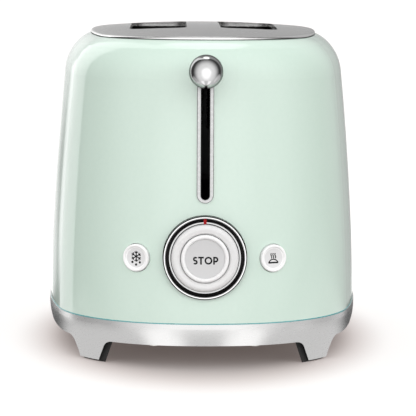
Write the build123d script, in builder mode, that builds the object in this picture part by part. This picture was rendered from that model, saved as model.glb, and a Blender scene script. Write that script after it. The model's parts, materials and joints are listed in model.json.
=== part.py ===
import math
import os

from build123d import *

os.makedirs("parts", exist_ok=True)

# Driving sizes in millimetres. The lever end faces -Y and the feet stand on z 0.
BODY_WIDTH = 196.4
BODY_LENGTH = 292.0
BODY_HEIGHT = 200.0
FRONT_RADIUS = 150.0
CORNER_RADIUS = 82.0
SIDE_RADIUS = 380.0
LEG_HEIGHT = 13.9
RING_HEIGHT = 13.1
BALL_RADIUS = 10.0
BALL_GAP = 9.2
LIP_LENGTH = 5.0
SLOT_PITCH = 57.0
SLOT_WIDTH = 36.0
END_SPACE = 70.0
TOP_SPACE = 13.0
CHAMBER_BACK = 18.0

# Sheet thicknesses
SHELL_SHEET = 1.0
RING_SHEET = 1.6
PLATE_SHEET = 1.0
STEEL_SHEET = 1.0
PAN_SHEET = 1.5
TRAY_SHEET = 0.8
MICA_SHEET = 1.0

# Clearances
RUN_FIT = 0.08
PART_GAP = 0.3
SLIDE_GAP = 0.2

# Shape of the side wall, from the seam up to the flat seat of the top plate
SEAM_STEP = 0.6
WALL_LEAN = 1.25
WALL_RADIUS = 1800.0
SHOULDER_DROP = 22.8
SHOULDER_BREAK = (18.3, 5.0)
RIM_INSET = 26.7
SEAT_INSET = 33.2
PLATE_INSET = 26.4
PLATE_EDGE = 2.0
PLATE_RISE = 3.2

HALF_WIDTH = BODY_WIDTH / 2
HALF_LENGTH = BODY_LENGTH / 2
SEAM_Z = LEG_HEIGHT + RING_HEIGHT
RIM_Z = BODY_HEIGHT - PLATE_RISE - PLATE_EDGE
SHOULDER_Z = RIM_Z - SHOULDER_DROP
SLOT_X = SLOT_PITCH / 2
BALL_Y = -HALF_LENGTH - BALL_GAP
MID_Y = (BALL_RADIUS - BALL_Y - HALF_LENGTH - LIP_LENGTH) / 2

# Corner arc of the plan outline: it lies inside the front arc and the side arc and touches both
FRONT_REACH = FRONT_RADIUS - CORNER_RADIUS
SIDE_REACH = SIDE_RADIUS - CORNER_RADIUS
FRONT_CENTRE = FRONT_RADIUS - HALF_LENGTH
SIDE_CENTRE = HALF_WIDTH - SIDE_RADIUS
CENTRES_APART = math.hypot(SIDE_CENTRE, FRONT_CENTRE)
CENTRES_TURN = math.atan2(-FRONT_CENTRE, SIDE_CENTRE)
CORNER_TURN = math.acos((FRONT_REACH**2 - SIDE_REACH**2 + CENTRES_APART**2) / (2 * FRONT_REACH * CENTRES_APART))
CORNER_X = FRONT_REACH * math.cos(CENTRES_TURN + CORNER_TURN)
CORNER_Y = FRONT_CENTRE + FRONT_REACH * math.sin(CENTRES_TURN + CORNER_TURN)


def level(z):
    """Horizontal plane at a height, centred on the body."""
    return Plane((0, MID_Y, z))


def across(y):
    """Upright plane across the body, facing the lever end."""
    return Plane((0, MID_Y + y, 0), x_dir=(1, 0, 0), z_dir=(0, -1, 0))


def along(x):
    """Upright plane along the body, facing the right side."""
    return Plane((x, MID_Y, 0), x_dir=(0, 1, 0), z_dir=(1, 0, 0))


def turning(plane):
    """Plane for a turned section: x is the radius and y runs outwards along the plane's normal."""
    return Plane(plane.origin, x_dir=plane.x_dir, z_dir=-plane.y_dir)


def bend(start, stop, heading):
    """Arc that leaves start along heading in degrees; gives back the heading it ends on."""
    chord = math.degrees(math.atan2(stop[1] - start[1], stop[0] - start[0]))
    turn = (chord - heading + 180) % 360 - 180
    bulge = math.dist(start, stop) / 2 * math.tan(math.radians(turn / 2))
    side = (math.sin(math.radians(chord)), -math.cos(math.radians(chord)))
    middle = ((start[0] + stop[0]) / 2 + bulge * side[0], (start[1] + stop[1]) / 2 + bulge * side[1])
    ThreePointArc(start, middle, stop)
    return chord + turn


def oval(inset):
    """Closed plan outline of the body, moved inwards by inset."""
    front = math.atan2(CORNER_Y - FRONT_CENTRE, CORNER_X)
    side = math.atan2(CORNER_Y, CORNER_X - SIDE_CENTRE)
    reach = CORNER_RADIUS - inset
    near = (CORNER_X + reach * math.cos(front), CORNER_Y + reach * math.sin(front))
    far = (CORNER_X + reach * math.cos(side), CORNER_Y + reach * math.sin(side))
    right = [near, far, (far[0], -far[1]), (near[0], -near[1])]
    left = [(-x, y) for x, y in reversed(right)]
    start = (0, inset - HALF_LENGTH)
    heading = 0.0
    for stop in right + left + [start]:
        heading = bend(start, stop, heading)
        start = stop


def wall_inset(z):
    """How far the side wall has leaned in from the plan outline at a height."""
    lean = math.sin(math.radians(WALL_LEAN))
    return SEAM_STEP + WALL_RADIUS * (math.sqrt(1 - lean**2) - math.sqrt(1 - (lean + (z - SEAM_Z) / WALL_RADIUS) ** 2))


def wall_line():
    """Outer line of the side wall and shoulder at the lever end, up to the rim."""
    foot = (SEAM_STEP - HALF_LENGTH, SEAM_Z)
    shoulder = (wall_inset(SHOULDER_Z) - HALF_LENGTH, SHOULDER_Z)
    middle = (SHOULDER_BREAK[0] - HALF_LENGTH, RIM_Z - SHOULDER_BREAK[1])
    heading = bend(foot, shoulder, 90 - WALL_LEAN)
    heading = bend(shoulder, middle, heading)
    bend(middle, (RIM_INSET - HALF_LENGTH, RIM_Z), heading)


def block(x, y, z, mode=Mode.ADD):
    """Square block between pairs of x, y and z."""
    with BuildSketch(level(z[0])) as outline:
        with Locations(((x[0] + x[1]) / 2, (y[0] + y[1]) / 2)):
            Rectangle(x[1] - x[0], y[1] - y[0])
    extrude(outline.sketch, amount=z[1] - z[0], mode=mode)


def span(reach):
    """The same reach on either side of the middle."""
    return (-reach, reach)


with BuildLine(level(SEAM_Z)) as seam:
    oval(0)
SEAM_PATH = seam.wire()

# Heights and places of what is inside
CURTAIN_Z = 1.2
LEDGE_Z = 16.5
LEDGE_SHEET = 1.6
LEDGE_INSET = 12.0
PAN_INSET = 3.7
PAN_Z = LEDGE_Z - PAN_SHEET
LEDGE_TOP = LEDGE_Z + LEDGE_SHEET
ELEMENT_X = SLOT_X + SLOT_WIDTH / 2 + 7.5
BULKHEAD_Y = HALF_LENGTH - END_SPACE
FRONT_WALL_Y = CHAMBER_BACK - BULKHEAD_Y
REAR_WALL_Y = CHAMBER_BACK + BULKHEAD_Y
BULKHEAD_X = ELEMENT_X + 10.0
BULKHEAD_TOP = BODY_HEIGHT - TOP_SPACE
SLOT_LENGTH = 2 * BULKHEAD_Y - 16.0
ARM_LOW = 40.0
ARM_DROP = 75.0
ARM_Z = BULKHEAD_TOP - ARM_DROP
LEVER_TRAVEL = ARM_Z - ARM_LOW
ARM_HEIGHT = 6.0
ARM_SHEET = 2.0
TAB_REACH = 7.5
TAB_SHEET = 1.5
GUIDE_REST = 16.5
GUIDE_TRAVEL = 7.0
GUIDE_LOW = 44.0
GUIDE_HIGH = BULKHEAD_TOP - 7.0
GUIDE_RADIUS = 0.9
UPRIGHT_RADIUS = 0.75
ROD_X = 22.0
ROD_Y = FRONT_WALL_Y - 12.0
ROD_RADIUS = 2.0
ROD_LOW = 30.0
ROD_HIGH = BULKHEAD_TOP - 1.0
BRACKET_SHEET = 2.0
BRACKET_Y = ROD_Y - 6.0
SLIDE_FRONT = ROD_Y - 24.0
SLIDE_REAR = ROD_Y + 8.0
SLIDE_HEIGHT = 28.0
SLIDE_X = 30.0
CARRIER_Y = 21.0 - HALF_LENGTH
CARRIER_SHEET = 2.5
CARRIER_X = 50.0
CARRIER_RISE = 11.0
CARRIER_HEIGHT = 58.0
CARRIER_Z = (SEAM_Z + CARRIER_RISE, SEAM_Z + CARRIER_RISE + CARRIER_HEIGHT)
BOARD_SHEET = 1.6
BOARD_FRONT = CARRIER_Y + CARRIER_SHEET
BOARD_REAR = BOARD_FRONT + BOARD_SHEET

# Front slot of the lever, cut so the stem clears it at both ends of its travel
LEVER_SLOT_WIDTH = 5.7
LEVER_SLOT_HIGH = RIM_Z - 10.8
STEM_BAR = (LEVER_SLOT_HIGH - 10.0, LEVER_SLOT_HIGH - 2.0)
LEVER_SLOT_LOW = STEM_BAR[0] - LEVER_TRAVEL - 0.8
TRIM_WIDTH = 9.4
TRIM_END = 1.6
TRIM_PROUD = 1.2
LINER_SHEET = 1.0
LINER_WIDTH = 16.0
LINER_END = 2.4
LINER_LIP = 0.4
STEM_SHEET = 3.0

# Controls: the dial on the middle line and one button on either side, square to the wall
DIAL_Z = SEAM_Z + 40.1
DIAL_RADIUS = 25.0
BUTTON_X = 40.6
BUTTON_Z = DIAL_Z - 1.0
BUTTON_RADIUS = 8.3
BUTTON_TRAVEL = 2.0
STEM_RADIUS = 3.5
STOP_STEM = 5.0
BOSS_HEIGHT = 2.9
HUB_BORE = 5.4
DIAL_INSET = wall_inset(DIAL_Z)
DIAL_FACE = Plane((0, MID_Y + DIAL_INSET - HALF_LENGTH, DIAL_Z), x_dir=(1, 0, 0), z_dir=(0, -1, 0))
CARRIER_DEPTH = CARRIER_Y - DIAL_INSET + HALF_LENGTH
BOARD_DEPTH = CARRIER_DEPTH + CARRIER_SHEET
BUTTON_REACH = CORNER_RADIUS - DIAL_INSET
BUTTON_SINE = (BUTTON_X - CORNER_X) / BUTTON_REACH
BUTTON_COSINE = math.sqrt(1 - BUTTON_SINE**2)
BUTTON_Y = CORNER_Y - BUTTON_REACH * BUTTON_COSINE


def button_face(side):
    """Plane on the wall at a button, facing outwards; side is 1 on the right and -1 on the left."""
    origin = (side * BUTTON_X, MID_Y + BUTTON_Y, BUTTON_Z)
    outwards = (side * BUTTON_SINE, -BUTTON_COSINE, 0)
    return Plane(origin, x_dir=(BUTTON_COSINE, side * BUTTON_SINE, 0), z_dir=outwards)


# Body shell: one drawn sheet from the seam over the shoulder to the seat of the top plate
with BuildPart() as body_shell:
    with BuildSketch(along(0)) as shell_section:
        with BuildLine():
            wall_line()
            Line((RIM_INSET - HALF_LENGTH, RIM_Z), (SEAT_INSET - HALF_LENGTH, RIM_Z))
            offset(amount=SHELL_SHEET, side=Side.RIGHT)
        make_face()
    sweep(shell_section.sketch, path=SEAM_PATH)
    block(span(HALF_WIDTH), span(HALF_LENGTH), (SEAM_Z - 2, SEAM_Z), mode=Mode.SUBTRACT)
    with BuildSketch(across(0)) as front_holes:
        with Locations((0, DIAL_Z)):
            Circle(DIAL_RADIUS + SLIDE_GAP)
        with Locations((0, (LEVER_SLOT_LOW + LEVER_SLOT_HIGH) / 2)):
            SlotOverall(LEVER_SLOT_HIGH - LEVER_SLOT_LOW, LEVER_SLOT_WIDTH, rotation=90)
    extrude(front_holes.sketch, amount=BODY_LENGTH, mode=Mode.SUBTRACT)
    for side in (1, -1):
        with BuildSketch(button_face(side).offset(-10)) as button_hole:
            Circle(BUTTON_RADIUS + PART_GAP)
        extrude(button_hole.sketch, amount=20, mode=Mode.SUBTRACT)
body_shell.part.label = "body_shell"
export_step(body_shell.part, "parts/body_shell.step")

# Base ring: a band under the shell, with a leg left standing at each corner and a ledge for the pan
RING_TUCK = 1.6
LEG_TUCK = 4.2
END_LEG = (38.9, 33.8)
SIDE_LEG = (45.0, 40.5)
WINDOW_X = (HALF_WIDTH - END_LEG[0], HALF_WIDTH - END_LEG[1])
WINDOW_Y = (HALF_LENGTH - SIDE_LEG[0], HALF_LENGTH - SIDE_LEG[1])
WINDOW_FILLET = 5.0
TRAY_X = HALF_WIDTH - 43.7
NOTCH_X = TRAY_X + 2.5
REAR_END = (HALF_LENGTH - 46.0, HALF_LENGTH + 4.0)


def ring_band():
    """Wall section of the ring, from its top edge down to the end of the legs."""
    top = (-HALF_LENGTH, SEAM_Z)
    waist = (-HALF_LENGTH, SEAM_Z - 3)
    hem = (RING_TUCK - HALF_LENGTH, LEG_HEIGHT)
    Line(top, waist)
    heading = bend(waist, hem, -90)
    bend(hem, (LEG_TUCK - HALF_LENGTH, CURTAIN_Z), heading)
    offset(amount=RING_SHEET, side=Side.LEFT)


def sag(radius, half):
    """How far an arc has fallen back from its crest at a distance from its middle."""
    return radius - math.sqrt(radius**2 - half**2)


SCREW_INSET = 7.0
SCREW_X = 30.0
SCREW_Y = BULKHEAD_Y - 31.0
SCREW_RADIUS = 1.5
SIDE_SCREW_X = HALF_WIDTH - sag(SIDE_RADIUS, SCREW_Y) - SCREW_INSET
END_SCREW_Y = HALF_LENGTH - sag(FRONT_RADIUS, SCREW_X) - SCREW_INSET
SCREW_SPOTS = [(sx * SIDE_SCREW_X, sy * SCREW_Y) for sx in (1, -1) for sy in (1, -1)]
SCREW_SPOTS += [(sx * SCREW_X, sy * END_SCREW_Y) for sx in (1, -1) for sy in (1, -1)]

with BuildPart() as base_ring:
    with BuildSketch(along(0)) as ring_section:
        with BuildLine():
            ring_band()
        make_face()
        with Locations(((RING_SHEET + LEDGE_INSET) / 2 - HALF_LENGTH, LEDGE_Z + LEDGE_SHEET / 2)):
            Rectangle(LEDGE_INSET - RING_SHEET, LEDGE_SHEET)
    sweep(ring_section.sketch, path=SEAM_PATH)
    with BuildSketch(across(0)) as end_window:
        Polygon(
            (-WINDOW_X[1], -1), (WINDOW_X[1], -1), (WINDOW_X[0], LEG_HEIGHT), (-WINDOW_X[0], LEG_HEIGHT), align=None
        )
        fillet(end_window.vertices().group_by(Axis.Y)[-1], WINDOW_FILLET)
    extrude(end_window.sketch, amount=BODY_LENGTH, both=True, mode=Mode.SUBTRACT)
    with BuildSketch(along(0)) as side_window:
        Polygon(
            (-WINDOW_Y[1], -1), (WINDOW_Y[1], -1), (WINDOW_Y[0], LEG_HEIGHT), (-WINDOW_Y[0], LEG_HEIGHT), align=None
        )
        fillet(side_window.vertices().group_by(Axis.Y)[-1], WINDOW_FILLET)
    extrude(side_window.sketch, amount=BODY_WIDTH, both=True, mode=Mode.SUBTRACT)
    block(span(NOTCH_X), REAR_END, (LEDGE_TOP, SEAM_Z), mode=Mode.SUBTRACT)
    with BuildSketch(level(LEDGE_Z)) as ledge_holes:
        with Locations(SCREW_SPOTS):
            Circle(SCREW_RADIUS + RUN_FIT)
    extrude(ledge_holes.sketch, amount=LEDGE_SHEET, mode=Mode.SUBTRACT)
base_ring.part.label = "base_ring"
export_step(base_ring.part, "parts/base_ring.step")

# Rubber feet: four blocks behind the legs that stand just below them
FOOT_BAND = (6.4, 14.0)
FOOT_X = (HALF_WIDTH - 43.7, HALF_WIDTH - 38.7)
FOOT_Y = HALF_LENGTH - 42.0
with BuildPart() as rubber_feet:
    with BuildSketch(level(0)) as foot_outline:
        with BuildLine():
            oval(FOOT_BAND[0])
        make_face()
        with BuildLine():
            oval(FOOT_BAND[1])
        make_face(mode=Mode.SUBTRACT)
        Rectangle(2 * FOOT_X[0], BODY_LENGTH, mode=Mode.SUBTRACT)
        Rectangle(BODY_WIDTH, 2 * FOOT_Y, mode=Mode.SUBTRACT)
    extrude(foot_outline.sketch, amount=PAN_Z)
    with BuildSketch(across(0)) as foot_flanks:
        Polygon((-FOOT_X[1], 0), (FOOT_X[1], 0), (FOOT_X[0], PAN_Z), (-FOOT_X[0], PAN_Z), align=None)
    extrude(foot_flanks.sketch, amount=BODY_LENGTH, both=True, mode=Mode.SUBTRACT)
rubber_feet.part.label = "rubber_feet"
export_step(rubber_feet.part, "parts/rubber_feet.step")

# Base pan: closes the body from below, with vent slots, two tray runners and the hole of the cord gland
GLAND_X = TRAY_X + 10.0
GLAND_Y = BULKHEAD_Y
GLAND_RADIUS = 6.5
RUNNER_X = (TRAY_X - 10.5, TRAY_X - 4.5)
TRAY_FRONT = FRONT_WALL_Y + 2.0
RUNNER_Y = (TRAY_FRONT, HALF_LENGTH - 26.0)
VENT_PITCH = BULKHEAD_Y / 4.75
VENT_REACH = TRAY_X - 19.5
VENT_WIDTH = 4.0
with BuildPart() as base_pan:
    with BuildSketch(level(PAN_Z)) as pan_outline:
        with BuildLine():
            oval(PAN_INSET)
        make_face()
        with Locations(SCREW_SPOTS):
            Circle(SCREW_RADIUS + SLIDE_GAP, mode=Mode.SUBTRACT)
        with Locations((GLAND_X, GLAND_Y)):
            Circle(GLAND_RADIUS, mode=Mode.SUBTRACT)
        with Locations((0, CHAMBER_BACK)):
            with GridLocations(0, VENT_PITCH, 1, 9):
                SlotOverall(2 * VENT_REACH, VENT_WIDTH, mode=Mode.SUBTRACT)
    extrude(pan_outline.sketch, amount=PAN_SHEET)
    for side in (1, -1):
        block(sorted(side * x for x in RUNNER_X), RUNNER_Y, (LEDGE_Z, LEDGE_TOP))
base_pan.part.label = "base_pan"
export_step(base_pan.part, "parts/base_pan.step")

# Base screws: short screws up through the pan into the ledge
SCREW_HEAD = 3.0
SCREW_HEAD_HEIGHT = 1.8
with BuildPart() as base_screws:
    with BuildSketch(level(PAN_Z)) as screw_heads:
        with Locations(SCREW_SPOTS):
            Circle(SCREW_HEAD)
    extrude(screw_heads.sketch, amount=-SCREW_HEAD_HEIGHT)
    with BuildSketch(level(PAN_Z)) as screw_shanks:
        with Locations(SCREW_SPOTS):
            Circle(SCREW_RADIUS)
    extrude(screw_shanks.sketch, amount=LEDGE_TOP - PAN_Z)
base_screws.part.label = "base_screws"
export_step(base_screws.part, "parts/base_screws.step")

# Top plate: a shallow dome pressed from sheet, with two flanged bread slots
PLATE_HALF_WIDTH = HALF_WIDTH - PLATE_INSET
PLATE_HALF_LENGTH = HALF_LENGTH - PLATE_INSET
DOME_ACROSS = (PLATE_HALF_WIDTH**2 + PLATE_RISE**2) / (2 * PLATE_RISE)
DOME_ALONG = (PLATE_HALF_LENGTH**2 + PLATE_RISE**2) / (2 * PLATE_RISE)
DOME_SWING = 7.0
CORNER_REACH = CORNER_RADIUS - PLATE_INSET
CORNER_BEARINGS = [math.radians(degrees) for degrees in range(91)]
CORNER_FALL = max(
    sag(DOME_ACROSS, CORNER_X + CORNER_REACH * math.cos(bearing))
    + sag(DOME_ALONG, -CORNER_Y + CORNER_REACH * math.sin(bearing))
    for bearing in CORNER_BEARINGS
)
CORNER_EDGE = PLATE_EDGE + PLATE_RISE - CORNER_FALL
PLATE_ROUND = min(1.7, CORNER_EDGE - RUN_FIT)
print("plate edge at the corners", round(CORNER_EDGE, 3), "rounded by", round(PLATE_ROUND, 3))
SLOT_CORNER = 9.0
FLANGE_DROP = 6.0


def dome(sink):
    """Solid under the dome surface, lowered by sink."""
    swing = math.radians(DOME_SWING)
    axis_point = (0, MID_Y, BODY_HEIGHT - DOME_ACROSS)
    crest = DOME_ACROSS - sink
    edge = crest - DOME_ALONG + math.sqrt(DOME_ALONG**2 - HALF_LENGTH**2)
    floor = crest - 20
    with BuildSketch(Plane(axis_point, x_dir=(0, 1, 0), z_dir=(math.cos(swing), 0, math.sin(swing)))) as slice_outline:
        with BuildLine():
            ThreePointArc((-HALF_LENGTH, edge), (0, crest), (HALF_LENGTH, edge))
            Polyline((HALF_LENGTH, edge), (HALF_LENGTH, floor), (-HALF_LENGTH, floor), (-HALF_LENGTH, edge))
        make_face()
    revolve(slice_outline.sketch, axis=Axis(axis_point, (0, 1, 0)), revolution_arc=2 * DOME_SWING)


def plate_prism(inset, low):
    """Upright prism on the plan outline of the plate."""
    with BuildSketch(level(low)) as plate_outline:
        with BuildLine():
            oval(inset)
        make_face()
    extrude(plate_outline.sketch, amount=BODY_HEIGHT + 2 - low, mode=Mode.INTERSECT)


def slot_prism(x, grow, high, mode):
    """Upright prism on the bread slot at x, from the end of its flange up."""
    low = RIM_Z - FLANGE_DROP
    with BuildSketch(level(low)) as slot_outline:
        with Locations((x, CHAMBER_BACK)):
            RectangleRounded(SLOT_WIDTH + 2 * grow, SLOT_LENGTH + 2 * grow, SLOT_CORNER + grow)
    extrude(slot_outline.sketch, amount=high - low, mode=mode)


with BuildPart() as plate_hollow:
    dome(PLATE_SHEET)
    plate_prism(PLATE_INSET + PLATE_SHEET, RIM_Z - 1)
    for x in (-SLOT_X, SLOT_X):
        slot_prism(x, PLATE_SHEET, BODY_HEIGHT + 2, Mode.SUBTRACT)
with BuildPart() as top_plate:
    dome(0)
    plate_prism(PLATE_INSET, RIM_Z)
    fillet(top_plate.faces().sort_by(Axis.Z)[-1].outer_wire().edges(), PLATE_ROUND)
    for x in (-SLOT_X, SLOT_X):
        slot_prism(x, PLATE_SHEET, RIM_Z + 1, Mode.ADD)
    add(plate_hollow.part, mode=Mode.SUBTRACT)
    for x in (-SLOT_X, SLOT_X):
        slot_prism(x, 0, BODY_HEIGHT + 2, Mode.SUBTRACT)
top_plate.part.label = "top_plate"
export_step(top_plate.part, "parts/top_plate.step")


def front_stadium(width, end):
    """Upright stadium-shaped outline around the lever slot, set well behind the front wall."""
    with BuildSketch(across(-HALF_LENGTH / 2)) as stadium:
        with Locations((0, (LEVER_SLOT_LOW + LEVER_SLOT_HIGH) / 2)):
            SlotOverall(LEVER_SLOT_HIGH - LEVER_SLOT_LOW + 2 * end, width, rotation=90)
    return stadium.sketch


# Lever trim: a thin bright frame around the lever slot, following the wall
with BuildPart() as lever_trim:
    with BuildSketch(along(0)) as trim_section:
        with BuildLine():
            wall_line()
            offset(amount=TRIM_PROUD, side=Side.LEFT)
        make_face()
    sweep(trim_section.sketch, path=SEAM_PATH)
    extrude(front_stadium(TRIM_WIDTH, TRIM_END), amount=BODY_LENGTH, mode=Mode.INTERSECT)
    extrude(front_stadium(LEVER_SLOT_WIDTH, 0), amount=BODY_LENGTH, mode=Mode.SUBTRACT)
lever_trim.part.label = "lever_trim"
export_step(lever_trim.part, "parts/lever_trim.step")

# Slot liner: a dark frame behind the wall that covers the cut edge of the slot
with BuildPart() as slot_liner:
    with BuildSketch(along(0)) as liner_section:
        with BuildLine():
            wall_line()
            offset(amount=SHELL_SHEET + LINER_SHEET, side=Side.RIGHT)
        make_face()
        with BuildLine():
            wall_line()
            offset(amount=SHELL_SHEET, side=Side.RIGHT)
        make_face(mode=Mode.SUBTRACT)
    sweep(liner_section.sketch, path=SEAM_PATH)
    extrude(front_stadium(LINER_WIDTH, LINER_END), amount=BODY_LENGTH, mode=Mode.INTERSECT)
    extrude(front_stadium(LEVER_SLOT_WIDTH - 2 * LINER_LIP, LINER_LIP), amount=BODY_LENGTH, mode=Mode.SUBTRACT)
slot_liner.part.label = "slot_liner"
export_step(slot_liner.part, "parts/slot_liner.step")


# Bulkheads: two upright sheets that close the toasting chamber and carry the inner parts
def bulkhead(y):
    """Sheet across the chamber with arm slots and guide slots; y is its rear face."""
    with BuildSketch(across(y)) as sheet:
        with Locations((0, (LEDGE_Z + BULKHEAD_TOP) / 2)):
            Rectangle(2 * BULKHEAD_X, BULKHEAD_TOP - LEDGE_Z)
        arm_low = ARM_Z - LEVER_TRAVEL - 2
        arm_high = ARM_Z + ARM_HEIGHT + 2
        with Locations((SLOT_X, (arm_low + arm_high) / 2), (-SLOT_X, (arm_low + arm_high) / 2)):
            Rectangle(ARM_SHEET + 2, arm_high - arm_low, mode=Mode.SUBTRACT)
        middle = GUIDE_REST - GUIDE_TRAVEL / 2
        guide_x = [side * (SLOT_X + way * middle) for side in (1, -1) for way in (1, -1)]
        with Locations([(x, z) for x in guide_x for z in (GUIDE_LOW, GUIDE_HIGH)]):
            SlotOverall(GUIDE_TRAVEL + 2 * GUIDE_RADIUS + 0.8, 2 * GUIDE_RADIUS + 0.7, mode=Mode.SUBTRACT)
    extrude(sheet.sketch, amount=STEEL_SHEET)


with BuildPart() as front_bulkhead:
    bulkhead(FRONT_WALL_Y)
front_bulkhead.part.label = "front_bulkhead"
export_step(front_bulkhead.part, "parts/front_bulkhead.step")

TRAY_Z = LEDGE_TOP + SLIDE_GAP
TRAY_HEIGHT = 6.5
TRAY_WINDOW_X = TRAY_X + 1.5
with BuildPart() as rear_bulkhead:
    bulkhead(REAR_WALL_Y + STEEL_SHEET)
    block(span(TRAY_WINDOW_X), (REAR_WALL_Y - 6, REAR_WALL_Y + 4), (LEDGE_Z, SEAM_Z + 1), mode=Mode.SUBTRACT)
rear_bulkhead.part.label = "rear_bulkhead"
export_step(rear_bulkhead.part, "parts/rear_bulkhead.step")

# Heat shields: side sheets of the chamber
SHIELD_SHEET = 0.8
SHIELD_Z = (30.0, BULKHEAD_TOP - 2.0)
for name, side in (("heat_shield_left", -1), ("heat_shield_right", 1)):
    with BuildPart() as heat_shield:
        faces = sorted((side * BULKHEAD_X, side * (BULKHEAD_X + SHIELD_SHEET)))
        block(faces, (FRONT_WALL_Y - STEEL_SHEET, REAR_WALL_Y + STEEL_SHEET), SHIELD_Z)
    heat_shield.part.label = name
    export_step(heat_shield.part, "parts/" + name + ".step")

# Element boards of mica between the bulkheads, each with a flat heating ribbon wound to and fro
ELEMENT_Z = (ARM_LOW, BULKHEAD_TOP - 22.0)
RIBBON_SHEET = 0.4
RIBBON_WIDTH = 2.0
RIBBON_ROWS = 11
RIBBON_END = 12.5
RIBBON_PITCH = (ELEMENT_Z[1] - ELEMENT_Z[0] - 2 * RIBBON_END) / (RIBBON_ROWS - 1)
RIBBON_REACH = BULKHEAD_Y - 10.0
for name, x, side in (("left", -ELEMENT_X, 1), ("centre", 0, 1), ("right", ELEMENT_X, -1)):
    with BuildPart() as element_board:
        block((x - MICA_SHEET / 2, x + MICA_SHEET / 2), (FRONT_WALL_Y, REAR_WALL_Y), ELEMENT_Z)
    element_board.part.label = "element_board_" + name
    export_step(element_board.part, "parts/element_board_" + name + ".step")
    with BuildPart() as element_ribbon:
        with BuildSketch(along(x + side * MICA_SHEET / 2)) as ribbon_outline:
            first = ELEMENT_Z[0] + RIBBON_END
            for row in range(RIBBON_ROWS):
                with Locations((CHAMBER_BACK, first + row * RIBBON_PITCH)):
                    Rectangle(2 * RIBBON_REACH, RIBBON_WIDTH)
            for row in range(RIBBON_ROWS - 1):
                end = (1 if row % 2 else -1) * (RIBBON_REACH - RIBBON_WIDTH / 2)
                with Locations((CHAMBER_BACK + end, first + (row + 0.5) * RIBBON_PITCH)):
                    Rectangle(RIBBON_WIDTH, RIBBON_PITCH + RIBBON_WIDTH)
        extrude(ribbon_outline.sketch, amount=side * RIBBON_SHEET)
    element_ribbon.part.label = "element_ribbon_" + name
    export_step(element_ribbon.part, "parts/element_ribbon_" + name + ".step")

# Bread guides: wire grilles on either side of each slice, running in the guide slots of the bulkheads
GUIDE_REACH = BULKHEAD_Y + 2 * STEEL_SHEET
GUIDE_UPRIGHTS = 6
GUIDE_END = 13.5
GUIDE_PITCH = 2 * (BULKHEAD_Y - GUIDE_END) / (GUIDE_UPRIGHTS - 1)
GUIDES = (
    ("guide_left_outer", -SLOT_X - GUIDE_REST),
    ("guide_left_inner", -SLOT_X + GUIDE_REST),
    ("guide_right_inner", SLOT_X - GUIDE_REST),
    ("guide_right_outer", SLOT_X + GUIDE_REST),
)
for name, x in GUIDES:
    with BuildPart() as bread_guide:
        with BuildSketch(across(CHAMBER_BACK + GUIDE_REACH)) as guide_rails:
            with Locations((x, GUIDE_LOW), (x, GUIDE_HIGH)):
                Circle(GUIDE_RADIUS)
        extrude(guide_rails.sketch, amount=2 * GUIDE_REACH)
        with BuildSketch(level(GUIDE_LOW)) as guide_wires:
            with Locations((x, CHAMBER_BACK)):
                with GridLocations(0, GUIDE_PITCH, 1, GUIDE_UPRIGHTS):
                    Circle(UPRIGHT_RADIUS)
        extrude(guide_wires.sketch, amount=GUIDE_HIGH - GUIDE_LOW)
    bread_guide.part.label = name
    export_step(bread_guide.part, "parts/" + name + ".step")

# Guide rods of the carriage, held by a bracket above and one below
with BuildPart() as guide_rods:
    with BuildSketch(level(ROD_LOW)) as rod_ends:
        with Locations((ROD_X, ROD_Y), (-ROD_X, ROD_Y)):
            Circle(ROD_RADIUS)
    extrude(rod_ends.sketch, amount=ROD_HIGH - ROD_LOW)
guide_rods.part.label = "guide_rods"
export_step(guide_rods.part, "parts/guide_rods.step")

BRACKET_X = 27.0
for name, low in (("rod_bracket_upper", ROD_HIGH - BRACKET_SHEET), ("rod_bracket_lower", ROD_LOW)):
    with BuildPart() as rod_bracket:
        block(span(BRACKET_X), (BRACKET_Y, FRONT_WALL_Y - STEEL_SHEET), (low, low + BRACKET_SHEET))
        with BuildSketch(level(low)) as rod_holes:
            with Locations((ROD_X, ROD_Y), (-ROD_X, ROD_Y)):
                Circle(ROD_RADIUS)
        extrude(rod_holes.sketch, amount=BRACKET_SHEET, mode=Mode.SUBTRACT)
    rod_bracket.part.label = name
    export_step(rod_bracket.part, "parts/" + name + ".step")

# Carriage slide: the moulded block that runs on the two rods
with BuildPart() as carriage_slide:
    block(span(SLIDE_X), (SLIDE_FRONT, SLIDE_REAR), (ARM_Z, ARM_Z + SLIDE_HEIGHT))
    with BuildSketch(level(ARM_Z)) as slide_bores:
        with Locations((ROD_X, ROD_Y), (-ROD_X, ROD_Y)):
            Circle(ROD_RADIUS + RUN_FIT)
    extrude(slide_bores.sketch, amount=SLIDE_HEIGHT, mode=Mode.SUBTRACT)
carriage_slide.part.label = "carriage_slide"
export_step(carriage_slide.part, "parts/carriage_slide.step")

# Carriage arms: a cross strip on the slide and one arm under each slice, with tabs that carry the bread
CROSS_SHEET = 1.5
ARM_REAR = REAR_WALL_Y + 4.0
TAB_HALF = 2.0
with BuildPart() as carriage_arms:
    block(span(SLOT_X + 3), (SLIDE_REAR, SLIDE_REAR + CROSS_SHEET), (ARM_Z, ARM_Z + ARM_HEIGHT + 2))
    for side in (1, -1):
        x = side * SLOT_X
        block((x - ARM_SHEET / 2, x + ARM_SHEET / 2), (SLIDE_REAR, ARM_REAR), (ARM_Z, ARM_Z + ARM_HEIGHT))
        for tab in range(-2, 3):
            tab_y = CHAMBER_BACK + tab * GUIDE_PITCH
            top = ARM_Z + ARM_HEIGHT
            block((x - TAB_REACH, x + TAB_REACH), (tab_y - TAB_HALF, tab_y + TAB_HALF), (top - TAB_SHEET, top))
carriage_arms.part.label = "carriage_arms"
export_step(carriage_arms.part, "parts/carriage_arms.step")

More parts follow.
